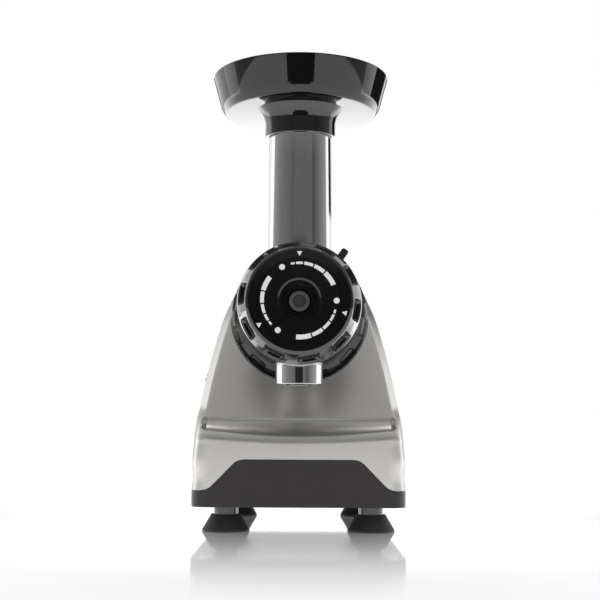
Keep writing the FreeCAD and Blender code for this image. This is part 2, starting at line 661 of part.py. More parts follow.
def base_pan():
    outer = plan_block("pan_block", "0", "foot_height", SEAM, "0")
    inner = plan_block("pan_hollow", "base_wall", "foot_height + base_wall", "%s + base_height" % SEAM,
                       minus("base_wall"))
    arch = new_body("arch_panel")
    pad(arch, "arch_face", "XZ_Plane", [arch_outline("0")], "base_wall")
    pan = combine("pan_walls", "Cut", outer, inner)
    foot_bosses = [upright_rod("foot_boss_%d" % index, across, depth, "foot_height", "%s - clearance" % SEAM,
                               "boss_radius") for index, (across, depth) in enumerate(FEET)]
    screw_bosses = [upright_rod("pan_boss_%d" % index, across, depth, "foot_height", SEAM, "boss_radius")
                    for index, (across, depth) in enumerate(BASE_SCREWS)]
    floor = "(foot_height + base_wall)"
    posts = [upright_rod("board_post_%d" % index, "%s * (board_half - boss_radius)" % side, depth,
                         "%s - base_wall / 2" % floor, "%s + board_post" % floor, "boss_radius / 2")
             for index, (side, depth) in enumerate((side, depth) for side in ("1", "-1") for depth in (
                 "board_depth + boss_radius", "board_depth + board_length - boss_radius"))]
    solid = combine("pan_solid", "MultiFuse", pan, arch, *foot_bosses, *screw_bosses, *posts)
    holes = [upright_rod("foot_screw_hole_%d" % index, across, depth, "0", "foot_height + screw_bite",
                         "foot_screw_radius + running_fit") for index, (across, depth) in enumerate(FEET)]
    for index, (across, depth) in enumerate(BASE_SCREWS):
        holes.append(upright_rod("pan_screw_hole_%d" % index, across, depth, "0", "%s + screw_bite" % SEAM,
                                 "screw_radius + running_fit"))
        holes.append(upright_rod("pan_counterbore_%d" % index, across, depth, "0",
                                 "foot_height + screw_head_height + clearance", "screw_head + clearance"))
    return combine("base_pan", "Cut", solid, group("pan_holes", holes))


def feet():
    neck = "(foot_height - stem_height)"
    hole = "foot_screw_radius + running_fit"
    stems = []
    cones = []
    for index, (across, depth) in enumerate(FEET):
        stem = new_body("foot_stem_%d" % index, across, depth)
        turn(stem, "foot_stem_%d_profile" % index, "Z",
             upright_profile(neck, "foot_height", "stem_radius", hole))
        stems.append(stem)
        cone = new_body("rubber_foot_%d" % index, across, depth)
        turn(cone, "rubber_foot_%d_profile" % index, "Z",
             [(hole, "foot_recess_depth"), (hole, neck), ("cone_top_radius", neck),
              ("cone_foot_radius", "clearance * 5"), ("cone_foot_radius", "0"),
              ("foot_recess_radius", "0"), ("foot_recess_radius", "foot_recess_depth")])
        cones.append(cone)
    group("foot_stems", stems)
    group("rubber_feet", cones)
    upright_screws("foot_screws", [(across, depth, "foot_recess_depth") for across, depth in FEET],
                   "foot_height - foot_recess_depth + screw_bite - clearance", "foot_screw_radius",
                   "foot_screw_head", "foot_screw_head_height")


def rear_cover():
    form = shell_form("cover_form", "(shell_wall + clearance)", "%s + clearance" % SEAM, "shell_wall")
    slab = new_body("cover_slab")
    pad(slab, "cover_slab_face", "XZ_Plane", [rectangle("base_half", "foot_height", CROWN_TOP)],
        "cover_thick", start="%s - cover_thick" % COVER_REAR)
    vents = new_body("vent_cutter")
    first = pad(vents, "vent_slot", "XZ_Plane",
                [rectangle("vent_width / 2", "vent_foot", "vent_foot + vent_height")],
                "cover_thick * 3", start="%s - cover_thick * 2" % COVER_REAR)
    rows = vents.newObject("PartDesign::LinearPattern", "vent_rows")
    rows.Originals = [first]
    rows.Direction = ([item for item in vents.Origin.OriginFeatures if item.Role == "Z_Axis"][0], [""])
    tie(rows, "Length", "vent_pitch * (vent_count - 1)")
    tie(rows, "Occurrences", "vent_count")
    vents.Tip = rows
    inlet = new_body("inlet_cutter", height="inlet_height")
    pad(inlet, "inlet_opening", "XZ_Plane",
        [rectangle("inlet_half_width + clearance", "-inlet_half_height - clearance",
                   "inlet_half_height + clearance")],
        "cover_thick * 3", start="%s - cover_thick * 2" % COVER_REAR)
    plate = combine("cover_plate", "MultiCommon", form, slab)
    return combine("rear_cover", "Cut", plate, group("cover_holes", [vents, inlet]))


def carry_handle():
    front = HANDLE_SCREWS[0][0] + " - handle_foot / 2"
    under = "handle_rise - handle_thick"
    low = "roof_height - shell_wall"
    bar = new_body("handle_bar")
    outline = [(front, "%s - handle_thick" % CROWN_TOP),
               (front, "handle_rise - handle_bend", minus("handle_bend * 1.1")),
               ("%s + handle_bend" % front, "handle_rise"),
               ("handle_rear - handle_bend", "handle_rise", minus("handle_bend * 1.1")),
               ("handle_rear", "handle_rise - handle_bend"), ("handle_rear", low),
               ("handle_rear - handle_thick", low), ("handle_rear - handle_thick", under),
               ("%s + handle_foot" % front, under),
               ("%s + handle_foot" % front, "%s - handle_thick" % CROWN_TOP)]
    pad(bar, "handle_side", "YZ_Plane", [outline], "handle_half * 2", Midplane=True)
    seat = shell_form("handle_seat", "(-clearance)", SEAM, "0")
    holes = [upright_rod("handle_bore_%d" % index, "0", depth, roof, "%s + screw_bite" % roof,
                         "screw_radius + running_fit") for index, (depth, roof) in enumerate(HANDLE_SCREWS)]
    combine("carry_handle", "Cut", bar, combine("handle_tools", "MultiFuse", seat, *holes))
    seats = [("0", depth, "%s - shell_wall - clearance / 2" % roof) for depth, roof in HANDLE_SCREWS]
    upright_screws("handle_screws", seats, "shell_wall + screw_bite - clearance", "screw_radius",
                   "screw_head",
                   "screw_head_height")


def on_axis(label, points, angle="0"):
    """A piece turned round the drum axis from a (depth, radius) profile."""
    body = new_body(label, height="axis_height")
    turn(body, label + "_profile", "Y", points)
    if angle != "0":
        tie(body, ".Placement.Rotation.Angle", angle)
    return body


def disc(start, end, radius):
    return [(start, "0"), (end, "0"), (end, radius), (start, radius)]


def oval_block(name, depth, rings):
    """An upright oval solid through rings of (height, half width)."""
    sections = []
    for index, (height, half) in enumerate(rings):
        ring = doc.addObject("Part::Ellipse", "%s_ring_%d" % (name, index))
        tie(ring, "MajorRadius", half)
        tie(ring, "MinorRadius", "(%s) * oval_ratio" % half)
        sections.append(place(ring, "0", depth, height))
    loft = doc.addObject("Part::Loft", name)
    loft.Sections = sections
    loft.Solid = True
    return loft


def drum_socket():
    bore = "shaft_radius + clearance"
    hub_end = "(socket_face + hub_length)"
    body = on_axis("drum_socket", [
        ("socket_face + seal_width + clearance", bore), ("%s - bearing_width" % hub_end, bore),
        ("%s - bearing_width" % hub_end, "bearing_radius + running_fit"),
        (hub_end, "bearing_radius + running_fit"), (hub_end, "hub_radius"),
        ("socket_face + socket_plate", "hub_radius"), ("socket_face + socket_plate", "socket_radius"),
        ("socket_face - socket_rim_length", "socket_radius"),
        ("socket_face - socket_rim_length", "socket_radius - socket_rim"),
        ("socket_face", "socket_radius - socket_rim"), ("socket_face", "seal_radius + running_fit"),
        ("socket_face + seal_width + clearance", "seal_radius + running_fit")])
    holes = pad(body, "hub_bolt", "XZ_Plane",
                [("circle", "bolt_radius + running_fit", "hub_radius - bolt_head", "0")],
                "screw_bite", start="%s - screw_bite" % hub_end, cut=True)
    spread(body, holes, "Y_Axis", "4", "hub_bolts")
    on_axis("shaft_seal", tube_profile("socket_face + clearance", "socket_face + seal_width",
                                       "seal_radius", "shaft_radius + running_fit"))


def lock_ring():
    skirt = "socket_radius + clearance"
    bore = "barrel_radius + clearance * 3"
    body = on_axis("lock_ring", [
        (RING_FRONT, bore), ("%s + ring_lip" % RING_FRONT, bore), ("%s + ring_lip" % RING_FRONT, skirt),
        (FLANGE_REAR, skirt), (FLANGE_REAR, "ring_radius"), ("%s + ring_bevel" % RING_FRONT, "ring_radius"),
        (RING_FRONT, "ring_radius - ring_bevel")])
    recess = pad(body, "ring_recess", "XZ_Plane",
                 [("circle", "ring_recess_radius", "0",
                   "ring_radius + ring_recess_radius - ring_recess_depth")],
                 "ring_lip * 5", start="%s - ring_lip" % RING_FRONT, cut=True)
    spread(body, recess, "Y_Axis", "ring_recess_count", "ring_recesses")
    lever = []
    for reach, side in (("ring_radius - ring_recess_depth - 1", "-"), ("lever_reach", "-"),
                        ("lever_reach", "+"), ("ring_radius - ring_recess_depth - 1", "+")):
        across = "(%s) * sin(lever_angle) %s lever_width / 2 * cos(lever_angle)" % (reach, side)
        turned = "+" if side == "-" else "-"
        lever.append((across, "(%s) * cos(lever_angle) %s lever_width / 2 * sin(lever_angle)" % (reach,
                                                                                                 turned)))
    pad(body, "lock_lever", "XZ_Plane", [lever], "ring_lip", start="%s - ring_lip" % FLANGE_REAR)


def drum():
    port = "(chute_foot_half - chute_wall - clearance)"
    outlet = "(spout_radius - spout_wall - clearance)"
    barrel = on_axis("barrel", [
        ("-drum_front", "0"), (FLANGE_REAR, "0"), (FLANGE_REAR, "flange_radius"),
        (FLANGE_FRONT, "flange_radius"), (FLANGE_FRONT, "barrel_radius"), ("-drum_front", "barrel_radius")])
    saddle = oval_block("drum_saddle", "-chute_depth", [("axis_height", "chute_foot_half + clearance * 4"),
                                                        ("chute_foot", "chute_foot_half + clearance * 4")])
    neck = oval_block("drum_neck", "-chute_depth",
                      [("axis_height", port), ("chute_foot + port_wall * 4", port)])
    shoulder = upright_rod("outlet_shoulder", "0", "-spout_depth", "spout_top", "axis_height", "spout_radius")
    spigot = upright_rod("outlet_spigot", "0", "-spout_depth", "spout_foot + clearance * 5", "axis_height",
                         outlet)
    bores = [on_axis("screen_bore_cut", disc("-drum_front * 2", "-throat_start", "barrel_bore")),
             on_axis("throat_cut", disc("-drum_front", "%s - drum_back_wall" % FLANGE_REAR, "throat_bore")),
             on_axis("neck_cut", disc("0", "socket_face * 2", "neck_radius + clearance")),
             on_axis("seal_cut", disc("%s - seal_width - clearance" % FLANGE_REAR, "socket_face * 2",
                                      "seal_radius + running_fit")),
             oval_block("port_cut", "-chute_depth", [("axis_height", "%s - port_wall" % port),
                                                     ("chute_top", "%s - port_wall" % port)]),
             upright_rod("outlet_cut", "0", "-spout_depth", "0", "axis_height", "%s - outlet_wall" % outlet)]
    solid = combine("drum_solid", "MultiFuse", barrel, saddle, neck, shoulder, spigot)
    combine("drum", "Cut", solid, combine("drum_bores", "MultiFuse", *bores))
    on_axis("drum_gasket", tube_profile("%s - seal_width" % FLANGE_REAR, FLANGE_REAR,
                                        "seal_radius", "neck_radius + running_fit"))


def feed_chute():
    outer = oval_block("chute_outer", "-chute_depth", [("chute_foot", "chute_foot_half"),
                                                       ("chute_top", "chute_top_half")])
    inner = oval_block("chute_inner", "-chute_depth", [("chute_foot", "chute_foot_half - chute_wall"),
                                                       ("chute_top", "chute_top_half - chute_wall")])
    combine("feed_chute", "Cut", outer, inner)


def chute_collar():
    flare = "(collar_rim_half - collar_neck_half)"
    outer = oval_block("collar_outer", "-chute_depth", [
        ("collar_foot", "collar_neck_half"),
                                                        ("collar_top - collar_flare",
                                                         "collar_neck_half + %s / 12" % flare),
        ("collar_top - collar_flare / 2", "collar_neck_half + %s / 3" % flare),
                                                        ("collar_top", "collar_rim_half")])
    slope = "(chute_foot_half - chute_top_half) / (chute_top - chute_foot) * (chute_top - collar_foot)"
    bore = oval_block("collar_bore", "-chute_depth", [
        ("collar_foot", "chute_top_half + %s + clearance" % slope),
                                                      ("collar_top", "chute_top_half + clearance")])
    combine("chute_collar", "Cut", outer, bore)


def hopper():
    floor_top = "(tray_floor + tray_wall)"
    tray = new_body("hopper_tray", depth=HOPPER_DEPTH)
    turn(tray, "hopper_profile", "Z", [
        ("0", "tray_floor"), ("tray_floor_radius", "tray_floor", "tray_bend"),
        ("tray_knee_radius", "tray_floor + tray_knee_rise"), ("tray_rim_radius", "tray_rim"),
        ("tray_rim_radius - tray_wall", "tray_rim"),
        ("tray_knee_radius - tray_wall", "%s + tray_knee_rise" % floor_top, "-(tray_bend - tray_wall)"),
        ("tray_floor_radius - tray_wall", floor_top), ("0", floor_top)])
    boss = oval_block("hopper_boss", "-chute_depth", [("collar_top + clearance", "boss_half"),
                                                      (floor_top, "boss_half")])
    neck = oval_block("hopper_neck", "-chute_depth", [("collar_top - collar_grip", "chute_top_half"),
                                                      (floor_top, "chute_top_half")])
    hole = oval_block("hopper_hole", "-chute_depth", [("chute_top", "chute_top_half - chute_wall"),
                                                      ("tray_rim", "chute_top_half - chute_wall")])
    combine("hopper", "Cut", combine("hopper_solid", "MultiFuse", tray, boss, neck), hole)


def juice_spout():
    sleeve = new_body("juice_spout", depth="-spout_depth")
    inner = "spout_radius - spout_wall"
    turn(sleeve, "spout_profile", "Z", [
        (inner, "spout_foot"), ("spout_radius", "spout_foot"),
        ("spout_radius", "spout_bead_height - spout_bead"),
        ("spout_radius + spout_bead", "spout_bead_height"),
        ("spout_radius", "spout_bead_height + spout_bead"),
        ("spout_radius", "spout_top"), (inner, "spout_top")])


def polar(radius, angle):
    """A point on the front view, clockwise from the top."""
    return "(%s) * sin(%s)" % (radius, angle), "(%s) * cos(%s)" % (radius, angle)


def screen():
    inner, outer = "screen_bore", "(screen_bore + screen_wall)"
    tube = on_axis("screen_tube", tube_profile("-screen_front", "-screen_rear", outer, inner))
    inlet = oval_block("screen_inlet", "-chute_depth",
                       [("axis_height", "chute_foot_half - chute_wall - port_wall"),
                                                        ("chute_foot",
                                                         "chute_foot_half - chute_wall - port_wall")])

    def window(name, gap):
        block = new_body(name, depth="-spout_depth")
        half = "(mesh_half + %s)" % gap
        pad(block, name + "_outline", "XY_Plane", [rectangle(half, minus(half), half)],
            "axis_height - spout_top", start="spout_top")
        return block

    combine("screen_frame", "Cut", tube, combine("screen_openings", "MultiFuse", inlet,
                                                 window("screen_window", "clearance")))
    sheet_tube = on_axis("mesh_tube", tube_profile("-screen_front", "-screen_rear",
                                                   "(%s - mesh_thick / 2)" % outer,
                                                   "(%s - mesh_thick * 3 / 2)" % outer))
    plate = combine("mesh_plate", "MultiCommon", sheet_tube, window("mesh_block", "0"))
    holes = [upright_rod("mesh_hole_%d_%d" % (row, column), "%d * mesh_pitch" % row,
                         "%d * mesh_pitch - spout_depth" % column, "spout_top", "axis_height", "mesh_hole")
             for row in (-2, -1, 0, 1, 2) for column in (-2, -1, 0, 1, 2)]
    combine("juice_screen", "Cut", plate, group("mesh_holes", holes))


def auger():
    body = on_axis("auger", [
        (TIP_FRONT, "0"), ("socket_face + clearance", "0"), ("socket_face + clearance", "neck_radius"),
        ("flight_rear + flight_root * 2", "neck_radius"), ("flight_rear + flight_root", "core_rear_radius"),
        ("-core_front", "core_front_radius"), ("-core_front - tip_radius", "tip_radius"),
                             (TIP_FRONT, "tip_radius")])
    pad(body, "tip_hollow", "XZ_Plane", [("circle", "tip_bore")], "tip_radius", start=TIP_FRONT, cut=True)
    pad(body, "drive_hollow", "XZ_Plane", [hexagon("drive_flat + clearance * 2")],
        "socket_face - drive_reach + clearance * 2", start="drive_reach - clearance", cut=True)
    profile = new_sketch(body, "flight_profile", "YZ_Plane")
    root = "(core_rear_radius - flight_crest / 2)"
    front = "(flight_root / 2 - core_front)"
    add_loop(profile, [("%s - flight_root / 2" % front, root), ("%s + flight_root / 2" % front, root),
                       ("%s + flight_crest / 2" % front, "flight_radius"),
                       ("%s - flight_crest / 2" % front, "flight_radius")])
    feature(body, "AdditiveHelix", profile, ReferenceAxis=(profile, ["H_Axis"]), Mode=0,
            Pitch="flight_pitch", Height="core_front + flight_rear - flight_root / 2")


def end_cap():
    pocket = "(dial_radius + clearance)"
    thread = "(barrel_radius + clearance)"
    body = on_axis("end_cap", [
        (FACE, pocket), ("%s + dial_thick + clearance" % FACE, pocket),
        ("%s + dial_thick + clearance" % FACE, "bore_radius"), (CAP_WALL_REAR, "bore_radius"),
        (CAP_WALL_REAR, thread), (CAP_REAR, thread), (CAP_REAR, "cap_radius - ring_bevel"),
        ("%s - ring_bevel" % CAP_REAR, "cap_radius"), ("cap_cone - dial_reach", "cap_radius"),
        (FACE, "cap_face_radius")])
    centre = polar("cap_radius + cap_recess_radius - cap_recess_depth", "cap_recess_start")
    recess = pad(body, "finger_recess", "XZ_Plane", [("circle", "cap_recess_radius", centre[0], centre[1])],
                 "cap_length", start="mark_thick * 5 - dial_reach", cut=True)
    spread(body, recess, "Y_Axis", "cap_recess_count", "finger_recesses")
    on_axis("cap_gasket", tube_profile("%s + clearance / 3" % CAP_WALL_REAR, "-drum_front - clearance / 3",
                                       "barrel_radius - clearance", "barrel_radius - gasket_wall"))


POINTERS = (0, 106, 238)
DOTS = (332, 91, 215)
BAR_GROUPS = ((-14, 66), (106, 188), (230, 306))


def pointer_marks():
    """Three triangles on the cap's face that point at the dial."""
    marks = new_body("pointer_marks", height="axis_height")
    loops = [[polar("pointer_radius - pointer_half", str(angle)),
              polar("pointer_radius + pointer_half", "%d deg + atan(pointer_half / pointer_radius)" % angle),
              polar("pointer_radius + pointer_half", "%d deg - atan(pointer_half / pointer_radius)" % angle)]
             for angle in POINTERS]
    pad(marks, "pointers", "XZ_Plane", loops, "mark_thick", start="-dial_reach")


def dial():
    body = on_axis("dial_disc", [
        (FACE, "bore_radius"), ("%s + dial_thick" % FACE, "bore_radius"),
        ("%s + dial_thick" % FACE, "dial_radius"), (FACE, "dial_radius")])
    soften(body, "Chamfer", "dial_bevel", lambda edge: edge.BoundBox.YMax < size(FACE) + 0.01
           and edge.BoundBox.XLength < size("bore_radius") * 2.1)
    marks = new_body("dial_marks", height="axis_height")
    loops = []
    for start, end in BAR_GROUPS:
        for bar in range(5):
            low = start + (end - start) * bar / 5
            high = low + (end - start) / 5 - 3
            half = "(bar_thin + (bar_thick - bar_thin) * %d / 4) / 2" % bar
            loops.append([polar("mark_radius - %s" % half, str(low)),
                          polar("mark_radius - %s" % half, str(high)),
                          polar("mark_radius + %s" % half, str(high)),
                          polar("mark_radius + %s" % half, str(low))])
    for angle in DOTS:
        loops.append(("circle", "dot_radius") + polar("mark_radius", str(angle)))
    pad(marks, "bars_and_dots", "XZ_Plane", loops, "mark_thick", start="-dial_reach")


def nozzle():
    outer = "(bore_radius - clearance)"
    inner = "(bore_radius - clearance - nozzle_wall)"
    on_axis("nozzle", [
        ("nozzle_lip - dial_reach", inner), (NOZZLE_FRONT, inner), (NOZZLE_FRONT, "nozzle_bore"),
        ("%s + nozzle_wall" % NOZZLE_FRONT, "nozzle_bore"), ("%s + nozzle_wall" % NOZZLE_FRONT, inner),
        (CAP_WALL_REAR, inner), (CAP_WALL_REAR, outer), ("nozzle_lip - dial_reach", outer)])


def gear(label, height, start, width, module, teeth, bore, gap_up):
    """An involute gear on an axis along Y. A gap faces up where the gear above it has a tooth."""
    builder = fcgear.FCWireBuilder()
    involute.CreateExternalGear(builder, size(module), int(size(teeth)), 20, True)
    outline = Part.Wire([curve.toShape() for curve in builder.wire])
    blank = Part.Face(outline).extrude(Z_AXIS * size(width))
    wheel = doc.addObject("Part::Feature", label)
    wheel.Label = label
    wheel.Shape = blank.cut(Part.makeCylinder(size(bore), size(width)))
    phase = -90 - 180 / size(teeth) if gap_up else 0
    turn_back = FreeCAD.Rotation(X_AXIS, -90).multiply(FreeCAD.Rotation(Z_AXIS, phase))
    wheel.Placement = FreeCAD.Placement(V(0, 0, 0), turn_back)
    return place(wheel, depth=start, height=height)


def along_depth(label, height, points):
    """A piece turned round an axis along Y at the given height."""
    body = new_body(label, height=height)
    turn(body, label + "_profile", "Y", points)
    return body


def output_stage():
    rear = "%s + plate_thick" % REAR_PLATE
    shaft = on_axis("output_shaft", disc("socket_face + clearance * 2", rear, "shaft_radius"))
    pad(shaft, "drive_hexagon", "XZ_Plane", [hexagon("drive_flat")],
        "socket_face + clearance * 2 - drive_reach", start="drive_reach")
    gear("output_gear", "axis_height", "wheel_start", "wheel_width", "slow_module", "wheel_teeth",
         "shaft_radius + running_fit", False)
    hub_end = "(socket_face + hub_length)"
    bearings = [on_axis("front_bearing", tube_profile("%s - bearing_width" % hub_end, hub_end,
                                                      "bearing_radius",
                                                      "shaft_radius + running_fit")),
                on_axis("rear_bearing", tube_profile("%s - bearing_width" % rear, rear, "bearing_radius",
                                                     "shaft_radius + running_fit"))]
    group("output_bearings", bearings)


def intermediate_stage():
    rear = "(%s + plate_thick)" % REAR_PLATE
    bore = "lay_radius + running_fit"
    along_depth("intermediate_shaft", LAY_HEIGHT, disc("plate_front", rear, "lay_radius"))
    gear("intermediate_gear", LAY_HEIGHT, "fast_start", "fast_width", "fast_module", "wheel_teeth", bore,
         False)
    gear("intermediate_pinion", LAY_HEIGHT, "wheel_start - pinion_margin",
         "fast_start - wheel_start + pinion_margin",
         "slow_module", "pinion_teeth", bore, True)
    bushes = [along_depth("lay_bush_%d" % index, LAY_HEIGHT, tube_profile(start, "%s + plate_thick" % start,
                                                                         "bush_radius", bore))
              for index, start in enumerate(("plate_front", REAR_PLATE))]
    group("intermediate_bushes", bushes)


SPACERS = [("%s * (plate_half - spacer_radius - bolt_radius)" % side, height)
           for side in ("1", "-1") for height in ("low_spacer_height", "high_spacer_height")]


def gearbox():
    floor = "(foot_height + base_wall)"
    outline = [(minus("plate_half"), floor), ("plate_half", floor),
               ("plate_half", "axis_height", "plate_top_radius"),
               (minus("plate_half"), "axis_height")]
    bolts = [("circle", "bolt_radius + running_fit", across, height) for across, height in SPACERS]
    bush = ("circle", "bush_radius + running_fit", "0", LAY_HEIGHT)
    hub_bolts = []
    for across, up in (("1", "0"), ("-1", "0"), ("0", "1"), ("0", "-1")):
        reach = "%s * (hub_radius - bolt_head)"
        hub_bolts.append(("circle", "bolt_radius + running_fit", reach % across,
                          "axis_height + " + reach % up))
    front = new_body("gearbox_front_plate")
    pad(front, "front_plate_face", "XZ_Plane", [outline], "plate_thick", start="plate_front")
    pad(front, "front_plate_holes", "XZ_Plane",
        [("circle", "shaft_radius + clearance", "0", "axis_height"), bush] + bolts + hub_bolts,
        "plate_thick * 2", start="plate_front - plate_thick / 2", cut=True)
    rear = new_body("gearbox_rear_plate")
    pad(rear, "rear_plate_face", "XZ_Plane", [outline], "plate_thick", start=REAR_PLATE)
    motor_bolts = [("circle", "bolt_radius + running_fit", "%s * motor_bolt_radius" % side, MOTOR_HEIGHT)
                   for side in ("1", "-1")]
    pad(rear, "rear_plate_holes", "XZ_Plane",
        [("circle", "bearing_radius + running_fit", "0", "axis_height"), bush,
         ("circle", "motor_bearing_radius", "0", MOTOR_HEIGHT)] + bolts + motor_bolts,
        "plate_thick * 2", start="%s - plate_thick / 2" % REAR_PLATE, cut=True)
    spacers = []
    screws = []
    for index, (across, height) in enumerate(SPACERS):
        spacer = new_body("spacer_%d" % index, across, height=height)
        turn(spacer, "spacer_%d_profile" % index, "Y",
             tube_profile("plate_front + plate_thick", REAR_PLATE, "spacer_radius",
                          "bolt_radius + running_fit"))
        spacers.append(spacer)
        screws.append(depth_screw("gearbox_screw_%d" % index, across, height, "plate_front",
                                  "%s + plate_thick" % REAR_PLATE))
    for index, (kind, radius, across, height) in enumerate(hub_bolts):
        screws.append(depth_screw("hub_screw_%d" % index, across, height, "plate_front + plate_thick",
                                  "socket_face + hub_length - screw_bite + clearance"))
    group("gearbox_spacers", spacers)
    group("gearbox_screws", screws)


def depth_screw(name, across, height, seat, end):
    """A screw along Y: its head stands on the side of the seat that faces away from its end."""
    body = new_body(name, across, height=height)
    away = "-" if size(end) > size(seat) else "+"
    top = "%s %s bolt_head_height" % (seat, away)
    turn(body, name + "_profile", "Y", [(top, "0"), (top, "bolt_head"), (seat, "bolt_head"),
                                        (seat, "bolt_radius"), (end, "bolt_radius"), (end, "0")])
    return body


def motor():
    bore = "motor_shaft_radius + running_fit"
    gear("motor_pinion", MOTOR_HEIGHT, "fast_start - pinion_margin", "fast_width + pinion_margin * 2",
         "fast_module",
         "pinion_teeth", bore, True)
    along_depth("motor_shaft", MOTOR_HEIGHT, disc("fast_start - pinion_margin * 2",
                                                  "%s + fan_gap + fan_length" % MOTOR_REAR,
                                                  "motor_shaft_radius"))
    along_depth("rotor_core", MOTOR_HEIGHT, tube_profile(CORE_FRONT, CORE_REAR, "rotor_radius", bore))
    stator = along_depth("stator_core", MOTOR_HEIGHT, tube_profile(CORE_FRONT, CORE_REAR, "motor_radius",
                                                                   "rotor_radius + air_gap"))
    bolt_holes = [("circle", "bolt_radius + running_fit", "%s * motor_bolt_radius" % side,
                   "0") for side in ("1", "-1")]
    pad(stator, "stator_holes", "XZ_Plane", bolt_holes, "stack_length * 2",
        start="%s - stack_length / 2" % CORE_FRONT, cut=True)
    inside = "rotor_radius + air_gap * 2"
    outside = "(motor_bolt_radius - bolt_radius - clearance)"
    coils = [along_depth("front_winding", MOTOR_HEIGHT,
                         tube_profile("%s - winding_length" % CORE_FRONT, CORE_FRONT, outside, inside)),
             along_depth("rear_winding", MOTOR_HEIGHT,
                         tube_profile(CORE_REAR, "%s + winding_length" % CORE_REAR, outside, inside))]
    group("field_windings", coils)
    end_bell("motor_front_bell", MOTOR_FRONT, "+", CORE_FRONT)
    end_bell("motor_rear_bell", MOTOR_REAR, "-", CORE_REAR)
    bearings = [along_depth("motor_bearing_%d" % index, MOTOR_HEIGHT,
                            tube_profile("%s %s bell_wall" % (face, inward),
                                         "%s %s (bell_wall + motor_bearing_width)" % (face, inward),
                                         "motor_bearing_radius", bore))
                for index, (face, inward) in enumerate(((MOTOR_FRONT, "+"), (MOTOR_REAR, "-")))]
    group("motor_bearings", bearings)
    group("motor_bolts", [depth_screw("motor_bolt_%s" % index, "%s * motor_bolt_radius" % side, MOTOR_HEIGHT,
                                      MOTOR_REAR, REAR_PLATE)
                          for index, side in enumerate(("1", "-1"))])
    fan()


def end_bell(label, face, inward, core):
    seat = "motor_bearing_radius + running_fit"
    bell = along_depth(label, MOTOR_HEIGHT, [
        (face, "motor_bearing_radius - bell_wall"), (face, "motor_radius"), (core, "motor_radius"),
        (core, "motor_radius - bell_wall"), ("%s %s bell_wall" % (face, inward), "motor_radius - bell_wall"),
        ("%s %s bell_wall" % (face, inward), "motor_bearing_radius + bell_wall"),
        ("%s %s (bell_wall + motor_bearing_width)" % (face, inward), "motor_bearing_radius + bell_wall"),
        ("%s %s (bell_wall + motor_bearing_width)" % (face, inward), seat),
        ("%s %s bell_wall" % (face, inward), seat),
        ("%s %s bell_wall" % (face, inward), "motor_bearing_radius - bell_wall")])
    holes = [("circle", "bolt_radius + running_fit", "%s * motor_bolt_radius" % side, "0") for side in ("1",
                                                                                                        "-1")]
    pad(bell, label + "_holes", "XZ_Plane", holes, "bell_length * 4", start="%s - bell_length * 2" % face,
        cut=True)


def fan():
    front = "(%s + fan_gap)" % MOTOR_REAR
    body = along_depth("cooling_fan", MOTOR_HEIGHT, [
        (front, "motor_shaft_radius + running_fit"), (front, "fan_radius"),
                                                     ("%s + fan_plate" % front, "fan_radius"),
        ("%s + fan_plate" % front, "fan_hub"), ("%s + fan_length" % front, "fan_hub"),
        ("%s + fan_length" % front, "motor_shaft_radius + running_fit")])
    blade = pad(body, "fan_blade", "XZ_Plane",
                [rectangle("fan_plate / 2", "fan_hub - fan_plate / 2", "fan_radius - fan_plate")],
                "fan_length - fan_plate / 2", start="%s + fan_plate / 2" % front)
    spread(body, blade, "Y_Axis", "fan_blades", "fan_blades_ring")


def electrics():
    board_low = "(foot_height + base_wall + board_post)"
    board = new_body("circuit_board")
    pad(board, "board_outline", "XY_Plane",
        [[(minus("board_half"), "board_depth"), ("board_half", "board_depth"),
          ("board_half", "board_depth + board_length"), (minus("board_half"), "board_depth + board_length")]],
        "board_thick", start=board_low)
    capacitor = new_body("run_capacitor", height="%s + board_thick + capacitor_radius" % board_low)
    turn(capacitor, "capacitor_profile", "Y", disc("board_depth + board_thick * 3",
                                                   "board_depth + board_length - board_thick * 3",
                                                   "capacitor_radius"))


def switch():
    wide, tall = "switch_half_width", "switch_half_height"

    def frame_outline(gap):
        return [("switch_depth - %s - %s" % (wide, gap), "-%s - %s" % (tall, gap)),
                ("switch_depth + %s + %s" % (wide, gap), "-%s - %s" % (tall, gap)),
                ("switch_depth + %s + %s" % (wide, gap), "%s + %s" % (tall, gap)),
                ("switch_depth - %s - %s" % (wide, gap), "%s + %s" % (tall, gap))]

    bezel = new_body("switch_bezel", height="switch_height")
    pad(bezel, "bezel_outline", "YZ_Plane", [frame_outline("(switch_rim - clearance)"), frame_outline("0")],
        "switch_bezel_depth", start="-switch_face")
    pad(bezel, "pivot_holes", "XZ_Plane",
        [("circle", "pivot_radius + clearance", "rocker_pivot - switch_face", "0")],
        "(switch_half_width + pivot_bite + clearance) * 2",
        start="switch_depth - switch_half_width - pivot_bite - clearance", cut=True)
    block = new_body("switch_body", height="switch_height")
    pad(block, "switch_block", "YZ_Plane", [frame_outline("0")], "switch_box",
        start="switch_bezel_depth - switch_face")
    rocker = new_body("switch_rocker", "rocker_pivot - switch_face", "switch_depth", "switch_height")
    half_width = "(switch_half_width - clearance)"
    half_height = "(switch_half_height - rocker_play)"
    pad(rocker, "rocker_outline", "YZ_Plane",
        [[(minus(half_width), minus(half_height)), (half_width, minus(half_height)),
          (half_width, half_height), (minus(half_width), half_height)]], "rocker_thick", Midplane=True)
    pad(rocker, "rocker_pins", "XZ_Plane", [("circle", "pivot_radius")],
        "(switch_half_width + pivot_bite) * 2", Midplane=True)


